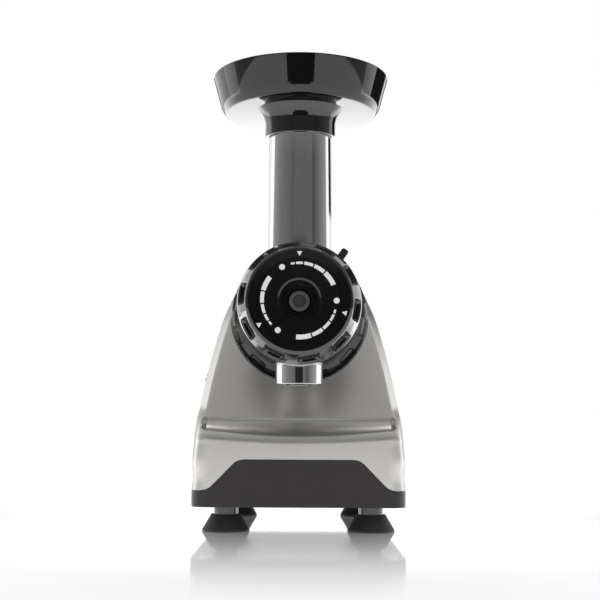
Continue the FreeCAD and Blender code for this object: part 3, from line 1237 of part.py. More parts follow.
def power_inlet():
    body = new_body("power_inlet", height="inlet_height")
    pad(body, "inlet_flange", "XZ_Plane",
        [rectangle("inlet_half_width + cover_thick", "-inlet_half_height - cover_thick",
                   "inlet_half_height + cover_thick")],
        "inlet_flange", start=COVER_REAR)
    pad(body, "inlet_block", "XZ_Plane", [rectangle("inlet_half_width", "-inlet_half_height",
                                                    "inlet_half_height")],
        "inlet_box", start="%s - inlet_box" % COVER_REAR)
    pad(body, "inlet_socket", "XZ_Plane",
        [rectangle("inlet_half_width - inlet_flange", "inlet_flange - inlet_half_height",
                   "inlet_half_height - inlet_flange")],
        "inlet_box", start="%s - inlet_box + cover_thick + inlet_flange" % COVER_REAR, cut=True)
    pad(body, "inlet_pins", "XZ_Plane",
        [("circle", "pin_radius", "inlet_half_width / 2", "0"),
         ("circle", "pin_radius", "-inlet_half_width / 2", "0")],
        "inlet_box - cover_thick * 2", start="%s - inlet_box + cover_thick" % COVER_REAR)


def check_document():
    """Stop before anything is written if an object failed to build."""
    doc.recompute()
    for item in doc.Objects:
        if "Invalid" in item.State or "Error" in item.State:
            raise ValueError("%s failed to build: %s" % (item.Name, item.State))


NODES = """housing_shell base_pan rear_cover carry_handle handle_screws base_screws foot_stems rubber_feet
foot_screws drum_socket shaft_seal lock_ring drum drum_gasket feed_chute chute_collar hopper juice_spout
screen_frame juice_screen auger end_cap cap_gasket pointer_marks dial_disc dial_marks nozzle
output_shaft output_gear output_bearings intermediate_shaft intermediate_gear intermediate_pinion
intermediate_bushes gearbox_front_plate gearbox_rear_plate gearbox_spacers gearbox_screws motor_shaft
motor_pinion rotor_core stator_core field_windings motor_front_bell motor_rear_bell motor_bearings
motor_bolts cooling_fan circuit_board run_capacitor switch_bezel switch_body switch_rocker
power_inlet""".split()


def write_nodes():
    for label in NODES:
        item = doc.getObjectsByLabel(label)[0]
        if item.Shape.isNull() or not item.Shape.isValid():
            raise ValueError("%s has no valid shape" % label)
        item.Shape.exportStep("parts/%s.step" % label)


housing_shell()
base_pan()
feet()
rear_cover()
carry_handle()
upright_screws("base_screws",
               [(across, depth, "foot_height + screw_head_height") for across, depth in BASE_SCREWS],
               "base_height - screw_head_height + screw_bite - clearance", "screw_radius", "screw_head",
               "screw_head_height")
drum_socket()
lock_ring()
drum()
feed_chute()
chute_collar()
hopper()
juice_spout()
screen()
auger()
end_cap()
pointer_marks()
dial()
nozzle()
output_stage()
intermediate_stage()
gearbox()
motor()
electrics()
switch()
power_inlet()
check_document()
write_nodes()
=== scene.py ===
# %% [markdown]
# # A slow juicer, dressed for the studio
# The construction model comes first and is the frame of everything here: it says where each
# part sits and what it turns with. This lesson gives those parts their finishes, and lays finer
# surfaces, worked out with numpy, over the parts whose skin shows the most.
# Units are metres; +Y points away from the front, +Z up, and the drum's line runs along Y.

# %% Load the frame
import json
import math
import bmesh
import bpy
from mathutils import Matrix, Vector
import numpy as np


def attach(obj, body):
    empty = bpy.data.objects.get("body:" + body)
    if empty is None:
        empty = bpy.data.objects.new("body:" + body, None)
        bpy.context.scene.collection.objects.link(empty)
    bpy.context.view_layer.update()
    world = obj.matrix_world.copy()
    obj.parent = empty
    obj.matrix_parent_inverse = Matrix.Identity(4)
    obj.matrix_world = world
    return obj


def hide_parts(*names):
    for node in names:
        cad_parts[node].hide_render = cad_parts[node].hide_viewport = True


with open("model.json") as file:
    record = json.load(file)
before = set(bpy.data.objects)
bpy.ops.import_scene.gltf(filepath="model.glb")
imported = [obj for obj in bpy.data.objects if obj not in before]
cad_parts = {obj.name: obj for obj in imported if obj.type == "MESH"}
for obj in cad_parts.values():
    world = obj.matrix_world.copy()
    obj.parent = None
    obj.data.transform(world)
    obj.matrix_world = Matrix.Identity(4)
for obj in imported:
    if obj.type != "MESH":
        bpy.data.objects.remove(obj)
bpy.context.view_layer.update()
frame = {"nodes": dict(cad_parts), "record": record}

# %% [markdown]
# ## The camera
# The picture is taken from just above the base, straight on, and tilted up a little, so the
# tray shows its underside. The tilt is a turn about X; the very small roll about the line of
# sight is the picture's own. Depth of field stays off, so every part is sharp.

# %% Camera
PITCH, ROLL = np.radians(96.4), np.radians(-0.3)
CAMERA_PLACE = (0.001, -1.0441, 0.0928)
camera_data = bpy.data.cameras.new("camera")
camera_data.lens = 66.6
camera_data.sensor_width = 36.0
camera_data.clip_start = 0.05
camera = bpy.data.objects.new("camera", camera_data)
camera.location = CAMERA_PLACE
camera.rotation_euler = (PITCH, ROLL, 0.0)
bpy.context.scene.collection.objects.link(camera)
bpy.context.scene.camera = camera
bpy.context.scene.view_settings.view_transform = "Standard"
print("camera at", tuple(round(v, 4) for v in camera.location))

# %% [markdown]
# ## Helpers for materials
# A finish is a graph of nodes. These helpers keep the graphs short enough to read like sums:
# each adds one node, feeds its sockets with plain values or with other nodes' results, and
# hands on its own result. Plain numbers are set on the shader's own sockets; only what changes
# over the surface is linked in.

# %% Node helpers
def feed(tree, socket, term):
    """Gives a socket its term: another node's socket is linked, a plain value is set."""
    if isinstance(term, bpy.types.NodeSocket):
        tree.links.new(term, socket)
    else:
        socket.default_value = term


def add_node(tree, kind, settings=None, **terms):
    """Adds a node; settings are its properties, terms feed its sockets by name (_ for a space)."""
    made = tree.nodes.new(kind)
    for key, value in (settings or {}).items():
        setattr(made, key, value)
    for key, term in terms.items():
        feed(tree, made.inputs[key.replace("_", " ")], term)
    return made


def in_order(tree, kind, *terms, **settings):
    """Adds a node and feeds its sockets in their order. Returns its first result."""
    made = add_node(tree, kind, settings)
    for socket, term in zip(made.inputs, terms):
        feed(tree, socket, term)
    return made.outputs[0]


def calculate(tree, operation, *terms):
    """The result of a Math node."""
    return in_order(tree, "ShaderNodeMath", *terms, operation=operation)


def map_range(tree, value, low, high, start=0.0, end=1.0, curve="LINEAR"):
    """A number that goes from start to end while value goes from low to high."""
    return add_node(tree, "ShaderNodeMapRange", {"interpolation_type": curve}, Value=value,
                    From_Min=low, From_Max=high, To_Min=start, To_Max=end).outputs[0]


def mix_colours(tree, share, first, second):
    """The first colour where share is 0, the second where it is 1."""
    made = add_node(tree, "ShaderNodeMix", {"data_type": "RGBA"})
    for index, term in ((0, share), (6, first), (7, second)):
        feed(tree, made.inputs[index], term)
    return made.outputs[2]


def axes_of(tree, vector):
    """The X, Y and Z of a vector, by name."""
    return add_node(tree, "ShaderNodeSeparateXYZ", Vector=vector).outputs


def place_in(tree, kind="Object"):
    """Texture coordinates: Object ones give a pattern one size on every part."""
    return add_node(tree, "ShaderNodeTexCoord").outputs[kind]


def start_material(name, colour, **values):
    """A material with its Principled shader, a base colour, and the shader's plain numbers."""
    material = bpy.data.materials.new(name)
    material.use_nodes = True
    tree = material.node_tree
    shader = tree.nodes["Principled BSDF"]
    material.diffuse_color = (*colour, 1.0)
    for key, value in dict(values, Base_Color=(*colour, 1.0)).items():
        shader.inputs[key.replace("_", " ")].default_value = value
    return material, tree, shader


def start_group(name, inputs, outputs):
    """A shader node group with named sockets: inputs {name: number}, outputs [names]."""
    group = bpy.data.node_groups.new(name, "ShaderNodeTree")
    for socket, value in inputs.items():
        made = group.interface.new_socket(socket, in_out="INPUT", socket_type="NodeSocketFloat")
        made.default_value = value
    for socket in outputs:
        group.interface.new_socket(socket, in_out="OUTPUT", socket_type="NodeSocketFloat")
    return group, group.nodes.new("NodeGroupInput").outputs, group.nodes.new("NodeGroupOutput")


def place_group(tree, group, **values):
    """Puts a group in a material's tree, with its own values. Returns its results by name."""
    return add_node(tree, "ShaderNodeGroup", {"node_tree": group}, **values).outputs

# %% [markdown]
# ## The studio
# The room is white. The floor is one wide sheet: matt white, with a polished patch round the
# juicer whose mirror image fades towards the camera, as on a sheet of acrylic, and also behind
# and beside the juicer. The patch shows more the lower one looks at it. It is a mix of a matt
# and a polished shader, driven by the floor's own coordinates.

# %% Floor
FLOOR_HALF = 6.0
FRONT_FADE = (-0.47, -0.08)   # each pair: where the mirror image ends and where it is full,
REAR_FADE = (0.5, 0.2)   # in front of the juicer and behind it along Y,
SIDE_FADE = (0.36, 0.14)   # and on both sides of it along X
WHITE = (1, 1, 1, 1)
EASED = "SMOOTHSTEP"

floor_mesh = bpy.data.meshes.new("floor")
floor_mesh.from_pydata([(x * FLOOR_HALF, y * FLOOR_HALF, 0)
                        for x, y in ((-1, -1), (1, -1), (1, 1), (-1, 1))], [], [(0, 1, 2, 3)])
floor = bpy.data.objects.new("floor", floor_mesh)
bpy.context.scene.collection.objects.link(floor)
floor_material, floor_tree, matt = start_material(
    "white_floor", (0.93, 0.93, 0.93), Roughness=0.9, Specular_IOR_Level=0.0)
mirror = add_node(floor_tree, "ShaderNodeBsdfGlossy", Color=WHITE, Roughness=0.06)
floor_place = place_in(floor_tree)
floor_axes = axes_of(floor_tree, floor_place)
in_front = map_range(floor_tree, floor_axes["Y"], *FRONT_FADE, curve=EASED)
at_rear = map_range(floor_tree, floor_axes["Y"], *REAR_FADE, curve=EASED)
off_middle = calculate(floor_tree, "ABSOLUTE", floor_axes["X"])
beside = map_range(floor_tree, off_middle, *SIDE_FADE, curve=EASED)
patch = calculate(floor_tree, "MULTIPLY", in_front,
                  calculate(floor_tree, "MULTIPLY", at_rear, beside))
facing = add_node(floor_tree, "ShaderNodeLayerWeight", Blend=0.5).outputs["Facing"]
low_view = calculate(floor_tree, "POWER", facing, 3.0)
polish = calculate(floor_tree, "MULTIPLY", low_view, patch)
sheet = in_order(floor_tree, "ShaderNodeMixShader", polish, matt.outputs[0], mirror.outputs[0])

# Seen directly or mirrored, the sheet is white however little light reaches its far end.
away = add_node(floor_tree, "ShaderNodeVectorMath", {"operation": "DISTANCE"})
feed(floor_tree, away.inputs[0], floor_place)
feed(floor_tree, away.inputs[1], (0, -0.05, 0))
seen_glow = map_range(floor_tree, away.outputs["Value"], 0.32, 0.75, 0.05, 0.42)
mirrored_glow = map_range(floor_tree, floor_axes["Y"], 0.2, 0.9, 0.9, 2.8)
floor_ray = add_node(floor_tree, "ShaderNodeLightPath").outputs
glow_sum = calculate(floor_tree, "MULTIPLY_ADD", floor_ray["Is Camera Ray"], seen_glow,
                     calculate(floor_tree, "MULTIPLY", mirrored_glow, floor_ray["Is Glossy Ray"]))
glow = add_node(floor_tree, "ShaderNodeEmission", Color=WHITE, Strength=glow_sum).outputs[0]
feed(floor_tree, floor_tree.nodes["Material Output"].inputs["Surface"],
     in_order(floor_tree, "ShaderNodeAddShader", sheet, glow))
floor_mesh.materials.append(floor_material)

# %% [markdown]
# The world is a dome. The camera sees it plain white. Matt surfaces are lit by it evenly.
# Shiny ones mirror what a studio has round the table: a dark room behind the camera, grey
# walls that get lighter to the sides, a white backdrop, and a pale ceiling.
# The dome's brightness is a colour ramp over the compass angle, blended with height.

# %% World
WALLS = [(-180, 1.4), (-122, 1.4), (-106, 0.95), (-95, 0.6), (-86, 0.46), (-60, 0.28),
         (-17, 0.16), (-16, 0.19), (34, 0.19), (36, 0.09), (43, 0.15), (68, 0.32), (86, 0.46),
         (97, 0.56), (112, 0.95), (122, 1.4), (180, 1.4)]   # degrees from the camera side, grey


def grey_ramp(tree, share, stops):
    """A colour ramp over share: stops are (position from 0 to 1, grey)."""
    ramp = add_node(tree, "ShaderNodeValToRGB")
    feed(tree, ramp.inputs[0], share)
    for index, (position, grey) in enumerate(stops):
        elements = ramp.color_ramp.elements
        stop = elements[index] if index < 2 else elements.new(1.0)
        stop.position, stop.color = position, (grey, grey, grey, 1)
    return ramp.outputs[0]


world = bpy.data.worlds.new("studio")
bpy.context.scene.world = world
world.use_nodes = True
sky = world.node_tree
sky.nodes.clear()
sky_axes = axes_of(sky, place_in(sky, "Generated"))
compass = calculate(sky, "ARCTAN2", sky_axes["X"],
                    calculate(sky, "MULTIPLY", sky_axes["Y"], -1.0))
round_share = map_range(sky, compass, -np.pi, np.pi)
walls = grey_ramp(sky, round_share, [((angle + 180) / 360, grey) for angle, grey in WALLS])
ceiling = grey_ramp(sky, sky_axes["Z"], [(0.3, 0), (0.56, 1)])
room = mix_colours(sky, ceiling, walls, (0.55, 0.55, 0.55, 1))
mirrored, even, backdrop = [
    add_node(sky, "ShaderNodeBackground", Color=colour, Strength=strength).outputs[0]
    for colour, strength in ((room, 1.0), (WHITE, 0.72), (WHITE, 1.0))]
sky_ray = add_node(sky, "ShaderNodeLightPath").outputs
lighting = in_order(sky, "ShaderNodeMixShader", sky_ray["Is Glossy Ray"], even, mirrored)
add_node(sky, "ShaderNodeOutputWorld", Surface=in_order(
    sky, "ShaderNodeMixShader", sky_ray["Is Camera Ray"], lighting, backdrop))

# %% [markdown]
# Three soft boxes: one on each side and a little behind, whose reflections make the bright
# rails down the shell's corners and the white bands on the chute, and one overhead. Dark
# cards that only reflections see put the dark windows in the tray and the edges on the chute.
# The two edge cards fade in with height, so that the polished floor shows no hard edge.

# %% Soft boxes and dark cards
AIM = (0.0, 0.0, 0.18)
CARD_GREY = (0.01, 0.01, 0.01)
CLEAR, FULL = 0.3, 0.66   # the heights where an edge card starts and is fully dark


def soft_box(name, place, width, height, radiance):
    """An area lamp at place, turned to face AIM. Power is radiance x area x pi."""
    data = bpy.data.lights.new(name, "AREA")
    data.shape = "RECTANGLE"
    data.size, data.size_y, data.energy = width, height, radiance * width * height * np.pi
    lamp = bpy.data.objects.new(name, data)
    lamp.location = place
    lamp.rotation_euler = (Vector(AIM) - Vector(place)).to_track_quat("-Z", "Y").to_euler()
    bpy.context.scene.collection.objects.link(lamp)


soft_box("left_box", (-1.15, 0.22, 0.42), 0.5, 0.84, 1.05)
soft_box("right_box", (1.15, 0.22, 0.42), 0.5, 0.84, 1.05)
soft_box("top_box", (0.0, 0.1, 1.5), 1.0, 0.8, 1.6)

card_black = start_material("card_black", CARD_GREY, Roughness=1.0)[0]
card_fading, fading_tree, fading_shader = start_material("card_fading", CARD_GREY, Roughness=1.0)
card_height = axes_of(fading_tree, place_in(fading_tree))["Z"]
feed(fading_tree, fading_shader.inputs["Alpha"],
     map_range(fading_tree, card_height, CLEAR, FULL, curve=EASED))


def dark_card(name, corner, across, up, finish=card_black):
    """A dark card seen only in reflections: one corner and its two edges."""
    corner, across, up = Vector(corner), Vector(across), Vector(up)
    mesh = bpy.data.meshes.new(name)
    mesh.from_pydata([corner, corner + across, corner + across + up, corner + up], [],
                     [(0, 1, 2, 3)])
    mesh.materials.append(finish)
    made = bpy.data.objects.new(name, mesh)
    bpy.context.scene.collection.objects.link(made)
    made.visible_camera = made.visible_shadow = made.visible_diffuse = False


dark_card("camera_card", (-0.36, -1.2, 0.1), (0.72, 0, 0), (0, 0, 0.26))
dark_card("table_card", (-0.34, -1.85, 0.002), (0.68, 0, 0), (0, 0.62, 0))
dark_card("right_card", (0.48, 0.1, 0.36), (-0.16, 0.25, 0), (0, 0, 0.5))
for side in (-1, 1):
    dark_card("edge_card", (side * 0.1, 1.0, CLEAR), (side * 0.34, 0, 0), (0, 0, 0.7),
              card_fading)
print("studio: floor, world, 3 lamps and 5 dark cards")

# %% [markdown]
# ## Effects that several finishes share
# Moulded plastic is never quite even: its skin has a fine grain, and hands leave it a little
# duller in patches. Turned and drawn metal has fine lines along the way it was worked. Paint
# with metal in it sparkles in tiny flakes. Each is a node group, built once; it reads Object
# coordinates, so the pattern has one size on every part.

# %% Noise and the effect groups
def noise(tree, place, scale, detail=3.0, stretch=(1.0, 1.0, 1.0)):
    """Noise with that many cells per metre, over coordinates that are stretched first."""
    stretched = add_node(tree, "ShaderNodeMapping", Vector=place, Scale=stretch).outputs[0]
    return add_node(tree, "ShaderNodeTexNoise", Vector=stretched, Scale=scale,
                    Detail=detail).outputs[0]


def swing(tree, value, size, base):
    """base + size (value - 1/2): a number that noise moves up and down."""
    return calculate(tree, "MULTIPLY_ADD", calculate(tree, "SUBTRACT", value, 0.5), size, base)


def finish_group(group, out, **results):
    """Feeds the group's outputs by name."""
    for name, result in results.items():
        group.links.new(result, out.inputs[name])
    return group


def make_moulded_skin():
    """Height: fine grain. Roughness: a base value plus broad, faint patches of handling."""
    group, given, out = start_group(
        "moulded_skin", {"Grain Scale": 2500.0, "Roughness": 0.4, "Handling": 0.06},
        ["Height", "Roughness"])
    place = place_in(group)
    patches = noise(group, place, 28.0, 4.0)
    return finish_group(group, out, Height=noise(group, place, given["Grain Scale"]),
                        Roughness=swing(group, patches, given["Handling"], given["Roughness"]))


def make_worked_lines():
    """Height and Roughness of lines left by turning or drawing: noise squeezed along one way."""
    group, given, out = start_group(
        "worked_lines", {"Line Scale": 900.0, "Roughness": 0.25, "Spread": 0.08},
        ["Height", "Roughness"])
    lines = noise(group, place_in(group), given["Line Scale"], 2.0, (1.0, 1.0, 0.02))
    return finish_group(group, out, Height=lines,
                        Roughness=swing(group, lines, given["Spread"], given["Roughness"]))


def make_paint_flake():
    """Height and Tone of metal flakes in paint: each tiny cell has its own tilt and value."""
    group, given, out = start_group("paint_flake", {"Flake Scale": 3500.0}, ["Height", "Tone"])
    cells = add_node(group, "ShaderNodeTexVoronoi", Vector=place_in(group),
                     Scale=given["Flake Scale"]).outputs["Color"]
    parts = add_node(group, "ShaderNodeSeparateColor", Color=cells).outputs
    return finish_group(group, out, Tone=parts[0], Height=parts[1])


def make_settled_dust():
    """Mask of fine dust: where the skin faces up, broken up by noise."""
    group, given, out = start_group("settled_dust", {"Amount": 0.3}, ["Mask"])
    facing_up = axes_of(group, place_in(group, "Normal"))["Z"]
    specks = noise(group, place_in(group), 260.0, 6.0)
    both = calculate(group, "MULTIPLY", map_range(group, facing_up, 0.6, 1.0),
                     map_range(group, specks, 0.45, 0.75))
    return finish_group(group, out, Mask=calculate(group, "MULTIPLY", both, given["Amount"]))


moulded_skin = make_moulded_skin()
worked_lines = make_worked_lines()
paint_flake = make_paint_flake()
settled_dust = make_settled_dust()
print("effect groups:", [group.name for group in bpy.data.node_groups])

# %% [markdown]
# ## The finishes
# Most of the juicer is black plastic, from mirror-bright on the cap to grained on the base.
# One function makes them all, from a colour, a roughness and the depth of the grain. A second
# colour, a shade away, is mixed in by broad noise, as pigment never spreads evenly.

# %% Plastic and metal
def tint(colour, factor):
    """The colour times a factor, opaque."""
    return (*(min(1.0, channel * factor) for channel in colour), 1.0)


def wire_bump(tree, shader, height, distance):
    """Feeds Normal with a bump of that many metres."""
    bump = add_node(tree, "ShaderNodeBump", Strength=1.0, Distance=distance, Height=height)
    tree.links.new(bump.outputs[0], shader.inputs["Normal"])


def plastic(name, colour, rough, grain, grain_scale=2500.0, handling=0.06, shade=0.8, **values):
    """Moulded plastic: grain is the depth of its texture in metres."""
    material, tree, shader = start_material(name, colour, **values)
    skin = place_group(tree, moulded_skin, Roughness=rough, Handling=handling,
                       Grain_Scale=grain_scale)
    patches = noise(tree, place_in(tree), 45.0, 5.0)
    tones = mix_colours(tree, patches, tint(colour, shade), tint(colour, 2 - shade))
    tree.links.new(skin["Roughness"], shader.inputs["Roughness"])
    tree.links.new(tones, shader.inputs["Base Color"])
    wire_bump(tree, shader, skin["Height"], grain)
    return material


def metal(name, colour, rough, depth, line_scale=900.0, spread=0.08):
    """Worked metal: depth is the depth of its lines in metres."""
    material, tree, shader = start_material(name, colour, Metallic=1.0)
    lines = place_group(tree, worked_lines, Roughness=rough, Line_Scale=line_scale, Spread=spread)
    tones = mix_colours(tree, lines["Height"], tint(colour, 0.9), tint(colour, 1.1))
    tree.links.new(lines["Roughness"], shader.inputs["Roughness"])
    tree.links.new(tones, shader.inputs["Base Color"])
    wire_bump(tree, shader, lines["Height"], depth)
    return material

# %% [markdown]
# The silver shell is paint over plastic: fine metal flakes under a thin clear coat. The flakes
# spread the light, the coat adds a sharper, weaker reflection over it. It is four fifths metal,
# so it takes most of its brightness from what it faces.

# %% Silver paint
def silver_paint():
    """Metal flake under a clear coat, with a little dust where it faces up."""
    colour, dust_colour = (0.57, 0.56, 0.54), (0.62, 0.6, 0.57, 1)
    material, tree, shader = start_material(
        "silver_paint", colour, Metallic=0.8, Coat_Roughness=0.12, Coat_Weight=0.12,
        Specular_Tint=(0.2, 0.2, 0.2, 1))
    flake = place_group(tree, paint_flake, Flake_Scale=4200.0)
    skin = place_group(tree, moulded_skin, Roughness=0.3, Handling=0.05, Grain_Scale=600.0)
    dust = place_group(tree, settled_dust, Amount=0.12)
    tones = mix_colours(tree, flake["Tone"], tint(colour, 0.9), tint(colour, 1.1))
    dusty = mix_colours(tree, dust["Mask"], tones, dust_colour)
    tree.links.new(dusty, shader.inputs["Base Color"])
    tree.links.new(skin["Roughness"], shader.inputs["Roughness"])
    wire_bump(tree, shader, flake["Height"], 0.000004)
    return material

# %% [markdown]
# The tray is smoky: plastic dyed so dark that it reads as black, polished even more than the
# cap. The metals differ in their tone, their roughness and how deep their lines are.

# %% Every slot of the record gets its finish
finishes = {
    "silver_paint": silver_paint(),
    "black_base": plastic("black_base", (0.0145, 0.0105, 0.0125), 0.42, 0.00002, 1800.0),
    "gloss_black": plastic("gloss_black", (0.007, 0.006, 0.008), 0.07, 0.000001, 900.0, 0.05,
                           IOR=1.65),
    "ring_black": plastic("ring_black", (0.022, 0.021, 0.023), 0.2, 0.000003, 1200.0),
    "smoke_black": plastic("smoke_black", (0.007, 0.006, 0.006), 0.05, 0.000001, 700.0, 0.04,
                           IOR=1.5),
    "dark_chrome": metal("dark_chrome", (0.55, 0.54, 0.535), 0.1, 0.000002, 700.0, 0.05),
    "bright_chrome": metal("bright_chrome", (0.64, 0.635, 0.63), 0.05, 0.000001, 700.0, 0.03),
    "rubber": plastic("rubber", (0.022, 0.021, 0.022), 0.62, 0.00003, 1400.0, 0.1),
    "white_print": plastic("white_print", (0.92, 0.92, 0.91), 0.35, 0.000002, 3000.0, shade=0.97),
    "dial_black": plastic("dial_black", (0.006, 0.0055, 0.006), 0.16, 0.000002, 1500.0),
    "auger_grey": plastic("auger_grey", (0.11, 0.105, 0.11), 0.32, 0.000008, 1500.0),
    "seal_grey": plastic("seal_grey", (0.35, 0.34, 0.33), 0.5, 0.00001, 1500.0),
    "mesh_steel": metal("mesh_steel", (0.58, 0.575, 0.565), 0.24, 0.000006),
    "shaft_steel": metal("shaft_steel", (0.52, 0.52, 0.52), 0.22, 0.000004),
    "screw_steel": metal("screw_steel", (0.45, 0.45, 0.455), 0.3, 0.000004),
    "gear_nylon": plastic("gear_nylon", (0.72, 0.7, 0.62), 0.38, 0.000006, 1500.0, shade=0.94),
    "bearing_steel": metal("bearing_steel", (0.6, 0.6, 0.6), 0.16, 0.000002),
    "bush_bronze": metal("bush_bronze", (0.5, 0.33, 0.16), 0.36, 0.00001),
    "plate_aluminium": metal("plate_aluminium", (0.66, 0.66, 0.665), 0.34, 0.000008, 500.0),
    "core_steel": metal("core_steel", (0.32, 0.325, 0.335), 0.42, 0.00002, 2000.0),
    "winding_copper": metal("winding_copper", (0.62, 0.27, 0.12), 0.3, 0.00006, 1600.0),
    "fan_black": plastic("fan_black", (0.02, 0.02, 0.021), 0.45, 0.00001, 1500.0),
    "board_green": plastic("board_green", (0.02, 0.14, 0.05), 0.35, 0.00001, 900.0),
    "capacitor_white": plastic("capacitor_white", (0.75, 0.75, 0.73), 0.3, 0.000004, shade=0.95),
}

# %% Assign them to the construction model's nodes
for entry in frame["record"]["subparts"]:
    cad_mesh = frame["nodes"][entry["node"]].data
    cad_mesh.materials.clear()
    cad_mesh.materials.append(finishes[entry["material_slot"]])
print("finishes:", len(finishes), "on", len(frame["nodes"]), "nodes")

# %% [markdown]
# **Surfaces from formulas.** Every new form below is a grid of points worked out with numpy: one
# number runs along the rows, another across them. `grid_mesh` turns such a grid into a mesh. A
# grid can close round on itself, and `seal` lists closed edges to fill, so that the result is a
# solid with all its faces turned outwards. Working in millimetres keeps the numbers readable.

# %% Helpers for numpy surfaces
MM = 0.001
FRONT = -81.5   # where the front of the base lies along Y, in mm
AXIS_Z = 191.0   # height of the drum's axis


def finish_mesh(name, mesh, smooth_angle):
    """Merges doubled points, turns faces outwards, shades smooth up to an angle, and links."""
    work = bmesh.new()
    work.from_mesh(mesh)
    bmesh.ops.remove_doubles(work, verts=work.verts, dist=2e-6)
    bmesh.ops.dissolve_degenerate(work, edges=work.edges, dist=1e-6)
    bmesh.ops.recalc_face_normals(work, faces=work.faces)
    work.to_mesh(mesh)
    work.free()
    mesh.shade_smooth()
    mesh.set_sharp_from_angle(angle=math.radians(smooth_angle))
    made = bpy.data.objects.new(name, mesh)
    bpy.context.scene.collection.objects.link(made)
    return made


def grid_mesh(name, points, round_rows=False, round_columns=False, seal=(), smooth_angle=35):
    """An object from points[row, column] = (x, y, z) in mm.

    round_rows joins the last row to the first, round_columns the last column to the first; seal
    holds "first" or "last" for rows to fill as flat faces.
    """
    rows, columns = points.shape[:2]
    index = np.arange(rows * columns).reshape(rows, columns)
    below = np.vstack([index, index[:1]]) if round_rows else index
    wide = np.hstack([below, below[:, :1]]) if round_columns else below
    quads = np.stack([wide[:-1, :-1], wide[:-1, 1:], wide[1:, 1:], wide[1:, :-1]], axis=-1)
    faces = quads.reshape(-1, 4).tolist()
    faces += [index[{"first": 0, "last": -1}[end]].tolist() for end in seal]
    mesh = bpy.data.meshes.new(name)
    mesh.from_pydata((points.reshape(-1, 3) * MM).tolist(), [], faces)
    return finish_mesh(name, mesh, smooth_angle)


def turned(name, profile, axis_height=None, steps=96, smooth_angle=35):
    """A solid of revolution: (x, y, z) = (r sin a, d, h + r cos a) round the drum line, or upright.

    profile is a closed list of (along, radius); with axis_height it turns about a line along Y.
    """
    along, radius = np.array(profile, float).T
    angle = np.linspace(0, 2 * np.pi, steps, endpoint=False)[:, None]
    across, rise = radius * np.sin(angle), radius * np.cos(angle)
    flat = np.broadcast_to(along, across.shape)
    if axis_height is None:
        points = np.stack([across, rise, flat], axis=-1)
    else:
        points = np.stack([across, flat + FRONT, rise + axis_height], axis=-1)
    return grid_mesh(name, points, round_rows=True, round_columns=True, smooth_angle=smooth_angle)


def prism(name, outline, axis, low, high):
    """A straight block: outline[(u, v)] swept from low to high along axis "X", "Y" or "Z"."""
    flat = np.array(outline, float)
    ends = []
    for far in (low, high):
        column = np.full(len(flat), float(far))
        order = {"X": (column, flat[:, 0], flat[:, 1]), "Y": (flat[:, 0], column, flat[:, 1]),
                 "Z": (flat[:, 0], flat[:, 1], column)}[axis]
        ends.append(np.stack(order, axis=-1))
    return grid_mesh(name, np.array(ends), round_columns=True, seal=("first", "last"))


def carve(target, tool, operation="DIFFERENCE"):
    """Boolean the tool out of (or into) the target for good, then delete the tool."""
    modifier = target.modifiers.new("carve", "BOOLEAN")
    modifier.operation, modifier.object, modifier.solver = operation, tool, "MANIFOLD"
    evaluated = target.evaluated_get(bpy.context.evaluated_depsgraph_get())
    carved = bpy.data.meshes.new_from_object(evaluated)
    target.modifiers.clear()
    old, target.data = target.data, carved
    bpy.data.meshes.remove(old)
    spent = tool.data
    bpy.data.objects.remove(tool)
    bpy.data.meshes.remove(spent)


def smoothstep(edge_0, edge_1, value):
    """0 below edge_0, 1 above edge_1, and 3 s^2 - 2 s^3 between them."""
    share = np.clip((value - edge_0) / (edge_1 - edge_0), 0, 1)
    return share * share * (3 - 2 * share)

# %% [markdown]
# **The silver body.** In the photograph two light rails run down the corners of the body and flow
# forward into the apron, and between them a shallow cove is pressed into the front, ending in a
# rounded lip. The construction model has those faces with sharp edges, so the shell is made
# again here as a height field: for each point of the front outline, a formula says how deep the
# metal lies. Height fields are easy to refine: add a term, look, change a number.

# %% The body's outline and front depth as formulas
SEAM_Z, WAIST_Z, SHOULDER_Z, CROWN_Z, CROWN_R = 36.3, 97.0, 206.7, 188.0, 64.0
SIDE_R, SIDE_X, SIDE_Z = 670.0, -575.8, -1.0   # the long curve up each side and its centre
CREASE_Z, COVE_HALF, EASE_Z = 98.4, 83.6, 110.0   # top and half width of the cove; rails' start
FLARE = 2.4   # how much wider the body is at its front


def half_width(z):
    """Half the body's width: a straight foot, the long side curve, then the round crown."""
    foot = 93 - 6 * (z - SEAM_Z) / (WAIST_Z - SEAM_Z)
    side = SIDE_X + np.sqrt(SIDE_R ** 2 - (np.clip(z, 0, 260) - SIDE_Z) ** 2)
    crown = np.sqrt(np.maximum(CROWN_R ** 2 - (z - CROWN_Z) ** 2, 0))
    return np.where(z < WAIST_Z, foot, np.where(z < SHOULDER_Z, side, crown))


def front_flare(z):
    """How much wider the body is at its front than further back: at most FLARE."""
    return FLARE * smoothstep(42, 65, z) * (1 - smoothstep(185, 215, z))


def panel_depth(z):
    """The flat panel leans back: 15 + 41.6 (z - 99) / 153."""
    return 15 + 41.6 * (z - 99) / 153


